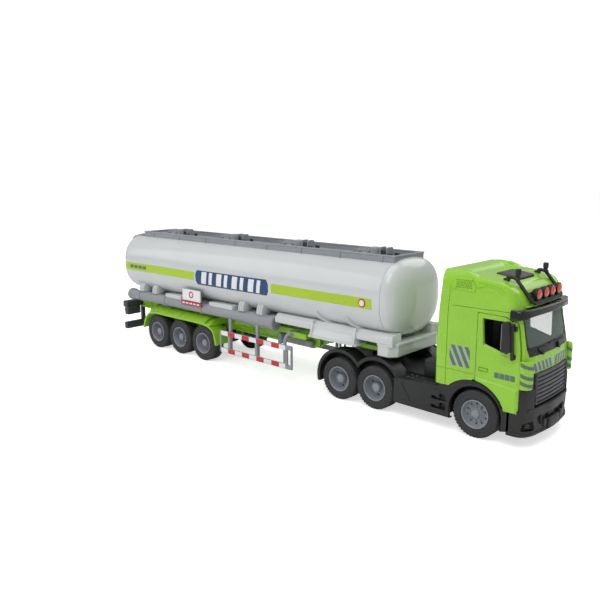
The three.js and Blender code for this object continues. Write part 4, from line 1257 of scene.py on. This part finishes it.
def tank_form():
    """The whole tank with domed ends, and a flat let into its top for the walkway."""
    rear, front, depth = TANK_LOW.x + 0.4, TANK_HIGH.x + 0.6, DOME_DEPTH
    power = 2.5  # how full the domes are
    dome = []  # (back from the tip, scale)
    for i in range(17):
        angle = math.pi / 2 * (1 - i / 16)
        scale = max(0.015, math.cos(angle) ** (2 / power))
        dome.append((depth * (1 - math.sin(angle) ** (2 / power)), min(1, scale)))
    rings = [tank_ring(rear + back, scale) for back, scale in dome]
    length = front - rear - 2 * depth
    rings += [tank_ring(rear + depth + length * k / 12) for k in range(1, 12)]
    rings += [tank_ring(front - back, scale) for back, scale in reversed(dome)]
    return combined(skin(rings), block(WALK_REAR + 3, WALK_FRONT - 3, -18.5, 18.5, DECK_Z - 1, 130, edge=0))


TANK_FORM = tank_form()
TANK_SURFACE = BVHTree.FromBMesh(TANK_FORM)


def make_tank():
    """The tank with its ribbed straps, two pairs of fins and the seam of its front end."""
    strap = [(24, 57.5), (24, 64), (31.6, 67.2), (33.6, 66), (35.3, 62.4), (35.9, 57.2), (30, 56.4)]
    strap_core = [(y - 0.9, z) for y, z in strap]
    straps = []
    for x in (-204.5, -181.5, -46.5, -22):
        for low in (x, x + 2.6, x + 2.6 * 2):
            straps.append(both_sides(panel(strap, 1.0, low, low + 1.7, "front", edge=0.5)))
        straps.append(both_sides(panel(strap_core, 1.0, x + 0.5, x + 6.4, "front", edge=0.2)))
    fins = []
    for x in (51, 83):
        for side in SIDES.values():
            curve = [(x, 69.8), (x + 2.4, 67.0), (x + 5.6, 64.0), (x + 11.6, 60.4), (x + 11.6, 59.0),
                     (x + 4.6, 62.6), (x + 0.8, 66.6), (x - 1.0, 69.6)]
            fins.append(sticker([rounded(curve, 0.4, 2)], "side", TANK_SURFACE, side, -0.5, 2.3, 2.5))
    seam_x = TANK_HIGH.x - DOME_DEPTH + 1.5
    seam = skin([tank_ring(seam_x + reach, scale)
                 for reach, scale in ((-1.6, 0.98), (-1.4, 1.0), (-0.7, 1.011), (0.1, 1.011), (0.5, 0.98))])
    seam = combined(seam, block(seam_x - 5, seam_x + 5, -21, 21, 100, 130, edge=0))
    make_piece("tank_body", merged(TANK_FORM.copy(), seam, *straps, *fins), "trailer", WHITE, ["tank_shell"],
               angle=40)


make_tank()


def make_tank_prints():
    """Prints on the tank: a lime line, a navy panel with slanting bars, plain blocks and a plain ring."""
    lime, navy, white, dark, red = [], [], [], [], []
    for side in SIDES.values():

        def lay(outline, low=-0.1, high=0.14):
            return sticker([outline], "side", TANK_SURFACE, side, low, high, 4)

        lime += [lay(rectangle(-224.8, -107.6, 80, 88.3)), lay(rectangle(-0.8, 109.2, 80, 88.3))]
        navy.append(lay(rounded([(-104.0, 74.2), (-5.4, 74.8), (-2.2, 80), (-2.2, 87.6), (-5.4, 93.2),
                                 (-104.0, 92.4), (-107.0, 87), (-107.0, 79.6)], 3.0)))
        for i in range(8):
            u, wide = -97.0 + 11.0 * i, 4.6 if i % 2 else 7.2
            bar = [(u, 77.8), (u + wide, 77.8), (u + wide + 2.2, 89.6), (u + 2.2, 89.6)]
            white.append(lay(bar, 0.1, 0.24))
        for u in [-216.5 + 7.6 * i for i in range(4)]:
            dark.append(lay([(u, 82.6), (u + 5.4, 82.6), (u + 6.2, 85.8), (u + 0.8, 85.8)], 0.0, 0.5))
        red.append(lay(circle(100, 84.2, 3.4, 24), 0.0, 0.45))
        white.append(lay(circle(100, 84.2, 2.4, 20), 0.0, 0.7))
    for name, sheets, colour in (
        ("line", lime, "lime"), ("panel", navy, "navy"), ("pattern", white, "white"), ("marks", dark, "dark"),
        ("rings", red, "red"),
    ):
        make_piece(f"tank_print_{name}", merged(*sheets), "trailer", PRINT[colour], angle=60)


make_tank_prints()


def make_tank_base():
    """Spine, side beams with gusseted shelves, and the sill across the front."""
    parts = [block(-226, 118, -11, 11, 45, 58, edge=0.8), block(-220, 118, -24.6, 24.6, 54, 56.4, edge=0.6)]
    beam = [(22, 53.6), (35.4, 53.6), (35.4, 58.2), (31.5, 61.4), (22, 61.4)]
    one_side = [
        panel(beam, 0.9, 1.5, 127, "front", edge=0.6),
        panel([(22, 49.3), (37.2, 49.3), (37.2, 50.4), (34.6, 56.4), (22, 56.4)], 0.5, 46.6, 91.5, "front",
              edge=0.4),
        block(43, 94, 22, 37.7, 47.5, 49.6, edge=0.6),
        block(-160, -134, 24, 34.6, 54.5, 60.2, edge=0.8),
        block(-90, -56, 24, 34.6, 54.5, 60.2, edge=0.8),
        block(122.6, 127.6, 28.4, 35.2, 52, 61.0, edge=0.7),
    ]
    for x in (45.4, 90.8):
        gusset = panel([(30, 48.6), (38.0, 48.6), (38.0, 50.2), (35.6, 61.2), (30, 61.2)], 0.5, x, x + 2.0,
                       "front", edge=0.4)
        one_side.append(gusset)
    sill = merged(
        panel(mirrored_v([(112.6, 34.6), (123, 34.6), (128.8, 28.2)]), 1.2, 43.3, 53.6, "plan", edge=0.9),
        panel(mirrored_v([(112.2, 35.2), (123.3, 35.2), (129.4, 28.6)]), 1.2, 51.6, 54.4, "plan", edge=0.5),
    )
    make_piece("tank_cradle", merged(*parts, both_sides(merged(*one_side)), sill), "trailer", WHITE,
               ["tank_base"])


make_tank_base()


# ------------------------------------------------------------------ walkway

MANHOLES = [77 - 86 * i for i in range(4)]


def manhole(x):
    """A ridged lid with its clamps, a drum, and the two cheeks of a vent, all on one foot."""
    lid_x = x - 3.6
    parts = [turned_at([
        (0, 115), (8.0, 115), (8.0, 119.2), (7.4, 120.0), (6.5, 120.1), (6.1, 121.6), (5.2, 122.3),
        (3.4, 122.5), (3.0, 122.0), (0, 122.0),
    ], (lid_x, 0, 0), 36)]
    for i in range(6):
        turn = Matrix.Rotation(math.pi / 3 * (i + 0.5), 4, "Z")
        clamp = block(5.4, 9.0, -0.9, 0.9, 118.2, 121.6, edge=0.3)
        clamp.transform(Matrix.Translation((lid_x, 0, 0)) @ turn)
        parts.append(clamp)
    for k in range(-2, 3):
        reach = math.sqrt(5.4 ** 2 - (2.0 * k) ** 2)
        low, high = lid_x - 0.4 + 2.0 * k, lid_x + 0.4 + 2.0 * k
        parts.append(block(low, high, -reach, reach, 121.8, 123.0, edge=0.25))
    parts.append(block(x - 14.6, x - 10.4, -3.4, 3.4, 115, 120.0, edge=0.5))
    parts.append(turned_at([
        (0, 115), (6.0, 115), (6.0, 116.8), (5.3, 117.4), (5.2, 118), (5.2, 122.8), (4.7, 123.7),
        (3.6, 124.1), (0, 124.1),
    ], (x + 7.4, 0, 0), 36))
    cheek = rounded([(-3.9, 115), (3.9, 115), (3.9, 123.4), (3.0, 124.4), (-3.0, 124.4), (-3.9, 123.4)], 0.5)
    parts += [plate([cheek], x + low, x + low + 1.5, "front", edge=0.35) for low in (14.0, 20.8)]
    parts.append(block(x - 12, x + 25, -8.6, 8.6, 114.8, 116.6, edge=0.5))
    return merged(*parts)


def vent(x):
    """The dark louvred box between the cheeks, and the hooks in front of it."""
    core = block(x + 15.2, x + 21.2, -3.1, 3.1, 116, 122.6, edge=0.4)
    slats = [block(x + 15.3, x + 21.0, -3.5, 3.5, z, z + 0.8, edge=0.2) for z in (117.6, 119.4, 121.2)]
    hooks = [block(x + 23.0, x + 27.0, s * 5.2 - 0.9, s * 5.2 + 0.9, 116.4, 120.2, edge=0.4) for s in (1, -1)]
    return merged(core, *slats, *hooks)


def make_walkway():
    """The tray along the tank's top with its kerb, treads and manholes, and the ladder down the rear end."""
    rear, front = WALK_REAR, WALK_FRONT
    rail = [(rear, -21), (front, -21), (front, 21), (rear, 21)]
    inner = [(rear + 2.4, -18.6), (front - 2.4, -18.6), (front - 2.4, 18.6), (rear + 2.4, 18.6)]
    foot = [(rear - 0.6, -21.7), (front + 0.6, -21.7), (front + 0.6, 21.7), (rear - 0.6, 21.7)]
    kerb = plate([rounded(rail, 1.0), rounded(inner, 0.8)], 112.8, 120.9, "plan", edge=0.5)
    flange = plate([rounded(foot, 1.2), rounded(inner, 0.8)], 112.4, 114.9, "plan", edge=0.5)
    cap_rim = [(u + math.copysign(0.5, u), v + math.copysign(0.35, v)) for u, v in rail]
    cap_hole = [(u, v - math.copysign(0.3, v)) for u, v in inner]
    cap = plate([rounded(cap_rim, 1.0), rounded(cap_hole, 0.8)], 119.8, 121.1, "plan", edge=0.35)
    deck = panel(inner, 0.8, DECK_Z - 1.2, DECK_Z + 0.2, "plan", edge=0.1)
    treads = []
    for k in range(int((front - rear - 10) / 3.4)):
        x = rear + 5 + 3.4 * k
        if all(not (m - 14 < x < m + 27.5) for m in MANHOLES):
            treads += [block(x, x + 1.2, y - 3.6, y + 3.6, DECK_Z, DECK_Z + 0.8, edge=0.2, segments=1)
                       for y in (-11.5, 0, 11.5)]
    posts = [side_block(s, x, x + 2, 20.4, 21.7, 113.4, 120.4, edge=0.3) for x in range(-196, 110, 43)
             for s in (1, -1)]
    ladder_x = TANK_LOW.x - 5.2
    ladder = []
    for side in SIDES.values():
        ladder.append(tube([
            (rear + 2, side * 19.2, 118.2), (-226, side * 19.2, 115.2), (-237, side * 18.2, 112.6),
            (ladder_x, side * 14.5, 106), (ladder_x, side * 12, 96), (ladder_x, side * 12, 57),
        ], 1.35, bend=6))
        ladder.append(rod(1.0, (ladder_x, side * 12, 62), (ladder_x + 10, side * 12, 62), segments=16))
        ladder.append(rod(1.2, (-226, side * 19.1, 115.4), (-226, side * 17, 107), segments=16))
    ladder += [rod(0.85, (ladder_x, -12, z), (ladder_x, 12, z), segments=16) for z in (61, 70, 79, 88, 97)]
    whole = merged(kerb, flange, cap, deck, *treads, *posts, *ladder, *[manhole(x) for x in MANHOLES])
    make_piece("walkway_deck", whole, "trailer", GREY, ["walkway"])
    make_piece("walkway_vents", merged(*[vent(x) for x in MANHOLES]), "trailer", DARK_GREY)


make_walkway()


# ------------------------------------------------------------------ side rails

def make_side_rails():
    """On each side a hose tube, a side guard on posts with barred prints, and a sign plate on stays."""
    red_bars, white_bars, signs, sign_marks = [], [], [], []
    for name, side in SIDES.items():
        y, z, radius = 31.8, 51.8, 5.3
        parts = [turned_at([
            (0, -225.4), (4.2, -225.4), (5.4, -225), (radius + 0.9, -224.2), (radius + 0.9, -219.4),
            (radius, -218.6), (radius, -36), (radius + 0.7, -35.4), (radius + 0.7, -5.6),
            (radius + 1.4, -5.2), (radius + 1.4, -0.6), (radius + 1.0, 0), (4.4, 0.2), (4.1, -0.9), (0, -0.6),
        ], (0, y, z), 48, "X")]
        for x in (-36.2, -205, -160, -100):
            band = [(4.6, x - 1.0), (radius + 0.55, x - 1.0), (radius + 0.55, x + 1.0), (4.6, x + 1.0)]
            parts.append(turned_at(band, (0, y, z), 48, "X"))
        parts.append(turned_at([(0, -0.9), (1.2, -0.9), (1.2, 0.5), (0, 0.7)], (0, y, z), 6, "X"))
        outer = BODY_SIDE
        frame_outer = rounded(rectangle(-70.6, 24.6, 14, 35.6), 1.0)
        openings = [rounded(rectangle(*o), 0.7) for o in (
            (-68.4, -59.4, 19, 30.6), (-55.6, -22.4, 19, 30.6), (-18.6, 16.6, 19, 30.6),
            (19.4, 22.4, 18.2, 31.4),
        )]
        guard = plate([frame_outer, *openings], outer - 1.6, outer, "side", edge=0.4)
        inset = plate([rounded(rectangle(17.4, 24.2, 14.4, 35.2), 0.8),
                       rounded(rectangle(19.2, 22.6, 17.4, 32.2), 0.5)],
                      outer - 0.5, outer + 0.45, "side", edge=0.3)
        posts = [block(x, x + 3, outer - 3.8, outer - 1.3, 14.6, 48, edge=0.5) for x in (-59, -22)]
        hook = tube([(14.6, 36.2, 16), (14.6, 36.2, 38), (15.6, 35.4, 43.6), (19, 30, 46.2), (22, 24, 46.2)],
                    1.6, bend=6)
        clips = [block(x - 0.6, x + 3.6, outer - 4.4, outer - 1.6, 45.4, 47.2, edge=0.4) for x in (-59, -22)]
        board = panel(rectangle(-126.6, -97.6, 58, 70.2), 1.0, 36.9, 38.1, "side", edge=0.4)
        stays = [block(x, x + 1.6, 34, 37.4, 55, 60, edge=0.3) for x in (-122, -103)]
        make_piece(f"side_guard_{name}",
                   on_side(merged(*parts, guard, inset, *posts, hook, *clips, board, *stays), side),
                   "trailer", GREY, [f"side_rail_{name}"])
        pitch = 9.68
        for low in (14.35, 30.95):
            for i in range(9):
                start = -68.4 + pitch * i
                end = start + pitch - (0 if i < 8 else 2)
                bar = block(start, end, outer - 0.2, outer + 0.16, low, low + 4.3, edge=0.08, segments=1)
                (red_bars if i % 2 else white_bars).append(on_side(bar, side))
        sign = panel(rectangle(-125.9, -98.3, 58.6, 69.4), 0.8, 37.9, 38.35, "side", edge=0.12)
        ring = plate([circle(-112.1, 64.6, r, 28) for r in (3.4, 2.2)], 38.2, 38.6, "side", edge=0.08)
        strip = block(-128.4, -96.8, 37.6, 38.7, 54.0, 57.6, edge=0.3)
        signs.append(on_side(sign, side))
        sign_marks += [on_side(ring, side), on_side(strip, side)]
        signs += [on_side(block(u, u + 3.6, 38.6, 38.95, 55.1, 56.5, edge=0.08, segments=1), side)
                  for u in (-125.6, -120.0, -114.4, -108.8, -103.2)]
    make_piece("guard_print_red", merged(*red_bars, *sign_marks), "trailer", PRINT["red"])
    make_piece("guard_print_white", merged(*white_bars, *signs), "trailer", PRINT["white"])


make_side_rails()


# ------------------------------------------------------------------ trailer frame

def make_trailer_frame():
    """Two rails under the tank, axle hangers, the triple-wheel mudguards, leg boxes and the kingpin."""
    neck_z = 43.3
    rails = panel([(-231, 34), (-70, 31), (30, 31), (44, 36.6), (52, neck_z), (118, neck_z), (118, 45),
                   (-231, 45)], 1.0, 10.6, 14, "side", edge=0.5)
    flange = panel([(-231, 43.2), (118, 43.2), (118, 45), (-231, 45)], 0.4, 9, 15.2, "side", edge=0.4)
    low_flange = panel([(-231, 34), (-70, 31), (30, 31), (30, 32.4), (-70, 32.4), (-231, 35.4)], 0.4, 9.6,
                       15.2, "side", edge=0.4)
    side_beam = panel([(-64, 40.2), (36, 43.4), (112, 44.4), (112, 47.4), (-64, 47.4)], 0.6, 13, 24.5, "side",
                      edge=0.6)
    web = [block(x, x + 1.6, 13.4, 15.4, 32, 44, edge=0.4)
           for x in (-215, -190, -150, -112, -78, -50, -10, 8)]
    crossings = [block(x, x + 3, -13, 13, 34.5, 44, edge=0.5) for x in (-228, -115, -20, 10)]
    hangers = []
    for x in [AXLE[name].x for name in ("trailer_rear", "trailer_middle", "trailer_front")]:
        hanger = rounded([(x - 7, 36), (x - 4, 13), (x + 4, 13), (x + 7, 36)], 1.5)
        hangers.append(plate([hanger, circle(x, WHEEL_RADIUS, 1.65, 24)], 11, 14, "side", edge=0.4))
    rear, front = AXLE["trailer_rear"].x, AXLE["trailer_front"].x
    top = WHEEL_RADIUS * 2 + 3.5

    def arch(drop, low, bend):
        """The mudguard's line in side view, drawn in by the drop, down to the low end."""
        return eased([
            (rear - 25 + drop, low), (rear - 21 + drop, 30), (rear - 14, top - 2 - drop),
            (rear - 4, top - drop), (front - 4, top - drop), (front + 8, top - 1.2 - drop),
            (front + 17.5 - drop, 31.5), (front + 21 - drop, low),
        ], bend)

    inside = arch(2.0, 19, 6)
    guard = plate([arch(0, 19, 7) + inside[::-1]], 21, BODY_SIDE, "side", edge=0.5)
    lip = plate([arch(-0.5, 18.6, 7) + arch(1.9, 18.6, 6)[::-1]], BODY_SIDE - 1.8, BODY_SIDE + 0.3, "side",
                edge=0.5)
    wall = plate([inside + [(front + 15, 26), (rear - 19, 26)]], 21, 22.4, "side", edge=0.3)
    slope = [(12.5, 47.2), (20, 46.4), (30, 43.4), (37.4, 39.0), (37.4, top - 1.6), (12.5, top - 1.6)]
    shelf = panel(slope, 0.8, rear - 13, front + 3, "front", edge=0.7)
    brow = panel([(12.5, 44), (20, 43.6), (30, 41.4), (37.4, 38), (37.4, 36), (12.5, 36)], 0.8, front + 5,
                 front + 11, "front", edge=0.6)
    gusset = rounded([(y, z + 0.5) for y, z in slope[:4]] + [(37.4, 38), (12.5, 45)], 0.5)
    gussets = [plate([gusset], x, x + 1.4, "front", edge=0.4)
               for x in (rear - 9, rear + 14, (rear + front) / 2, front - 14)]
    leg_box = merged(
        panel([(13, 33.2), (38, 33.2), (40, 36), (40, 45.4), (13, 45.4)], 0.9, 13, 18.2, "side", edge=0.6),
        panel([(12.6, 41.6), (33.6, 41.6), (34.6, 42.6), (34.6, 46.6), (12.6, 46.6)], 0.9, 15, 31, "side",
              edge=0.8),
    )
    one_side = merged(rails, flange, low_flange, side_beam, *web, *hangers, guard, lip, wall, shelf, brow,
                      *gussets, leg_box)
    kingpin = turned_at([
        (0, 35), (2.6, 35), (3.0, 35.5), (3.0, 38), (2.5, 38.4), (2.5, 40.4), (3.0, 40.8), (3.0, 44), (0, 44),
    ], KINGPIN)
    neck = block(46, 118, -13.6, 13.6, neck_z, 45, edge=0.6)
    make_piece("frame_rails", merged(both_sides(one_side), *crossings, kingpin, neck), "trailer", FRAME_LIME,
               ["trailer_frame"])


make_trailer_frame()


def make_landing_legs():
    """Two square legs with feet, folded back along the frame on one cross shaft."""
    outer_leg = [(-22, -2.6), (1.6, -2.6), (2.8, -1), (2.8, 1), (1.6, 2.6), (-22, 2.6)]
    foot = [(-35.6, -4.6), (-33, -4.6), (-32, -2), (-32, 2), (-33, 4.6), (-35.6, 4.6)]
    parts = [rod(1.6, (LEG_X, -23.4, LEG_Z), (LEG_X, 23.4, LEG_Z))]
    for side in SIDES.values():
        leg = merged(
            panel([(LEG_X + u, LEG_Z + v) for u, v in outer_leg], 0.8, 18.9, 23.2, "side", edge=0.5),
            block(LEG_X - 34, LEG_X - 21, 19.5, 22.6, LEG_Z - 2.0, LEG_Z + 2.0, edge=0.5),
            panel([(LEG_X + u, LEG_Z + v) for u, v in foot], 0.6, 17.9, 26, "side", edge=0.4),
            rod(2.0, (LEG_X, 18.5, LEG_Z), (LEG_X, 24.0, LEG_Z), segments=20),
            block(LEG_X - 14, LEG_X - 12, 18.7, 23.5, LEG_Z - 2.9, LEG_Z + 2.9, edge=0.3),
        )
        parts.append(on_side(leg, side))
    make_piece("folding_legs", merged(*parts), "landing_legs", GREY, ["landing_legs"])


make_landing_legs()


def make_rear_bumper():
    """Under-run bar, its posts and the lamp bracket with moulded lamp clusters."""
    lamp = [(0, 0), (2.2, 0), (2.3, 2.6), (1.7, 3.4), (0, 3.6)]
    bar = block(-240.4, -234.4, -33.6, 33.6, 9.8, 17.4, edge=1.0, segments=3)
    face = block(-240.8, -239.6, -31.0, 31.0, 11.6, 15.6, edge=0.4)
    cross = block(-241, -232.4, -34, 34, 34.8, 41.8, edge=0.9, segments=3)
    parts = [bar, face, cross]
    for side in SIDES.values():
        parts.append(side_block(side, -238, -234, 9, 13, 16.4, 38, edge=0.5))
        parts.append(side_block(side, -237.2, -230.6, 17.6, 34.6, 26.6, 35.6, edge=1.1, segments=3))
        for y in (21.0, 26.0, 31.0):
            parts.append(turned_at(lamp, (-237.0, side * y, 31.4), 24, "X", turn=180))
        parts.append(side_block(side, -237.8, -236.8, 18.4, 33.8, 27.4, 28.1, edge=0.2))
    make_piece("under_run_bar", merged(*parts), "trailer", DARK_GREY, ["rear_bumper"])


make_rear_bumper()


# ------------------------------------------------------------------ floor, light and camera

def eye_ray(tree):
    """One where the camera looks straight at a surface, none where light bounces."""
    return node_at(tree, "LightPath").outputs["Is Camera Ray"]


def make_floor():
    mesh = bpy.data.meshes.new("floor")
    bm = bmesh.new()
    bmesh.ops.create_grid(bm, x_segments=1, y_segments=1, size=6)
    bm.to_mesh(mesh)
    bm.free()
    paper, tree, shader = new_material("paper")
    white = (1, 1, 1, 1)
    set_inputs(shader, {"Base Color": (0.95, 0.95, 0.95, 1), "Roughness": 0.9, "Emission Color": white})
    glow = node_at(tree, "Math", {1: 0.6}, operation="MULTIPLY")
    tree.links.new(eye_ray(tree), glow.inputs[0])
    tree.links.new(glow.outputs[0], shader.inputs["Emission Strength"])
    mesh.materials.append(paper)
    linked("floor", mesh)


def make_studio():
    """A white wall for the camera, a softer one for the truck, and four soft lamps."""
    world = bpy.data.worlds.new("studio")
    bpy.context.scene.world = world
    world.use_nodes = True
    tree = world.node_tree
    set_inputs(tree.nodes["Background"], {"Color": (1, 1, 1, 1)})
    tree.links.new(ranged(tree, eye_ray(tree), 0.42, 1.02), tree.nodes["Background"].inputs["Strength"])

    target = Vector((0, 0, 0.06))
    for name, place, size, power in (
        ("key", (0.5, -0.9, 1.3), 0.9, 7),
        ("top", (0.0, -0.1, 1.5), 1.1, 6),
        ("side", (-0.9, -0.9, 0.7), 1.0, 3.5),
        ("back", (0.3, 1.2, 1.1), 1.0, 4.5),
    ):
        lamp = bpy.data.lights.new(name, "AREA")
        lamp.size = size
        lamp.energy = power
        holder = linked(name, lamp)
        holder.location = place
        holder.rotation_euler = (target - Vector(place)).to_track_quat("-Z", "Y").to_euler()


def make_camera():
    """The camera stands low off the right front corner."""
    camera = bpy.data.cameras.new("camera")
    camera.lens = 40.71
    camera.sensor_width = 36
    camera.clip_start = 0.01
    holder = linked("camera", camera)
    holder.location = (0.4159, -0.4547, 0.1858)
    azimuth, elevation = math.radians(42.48), math.radians(10.78)
    back = Vector((
        math.sin(azimuth) * math.cos(elevation), -math.cos(azimuth) * math.cos(elevation),
        math.sin(elevation),
    ))
    holder.rotation_euler = (-back).to_track_quat("-Z", "Y").to_euler()
    bpy.context.scene.camera = holder
    bpy.context.scene.view_settings.view_transform = "Standard"


make_floor()
make_studio()
make_camera()
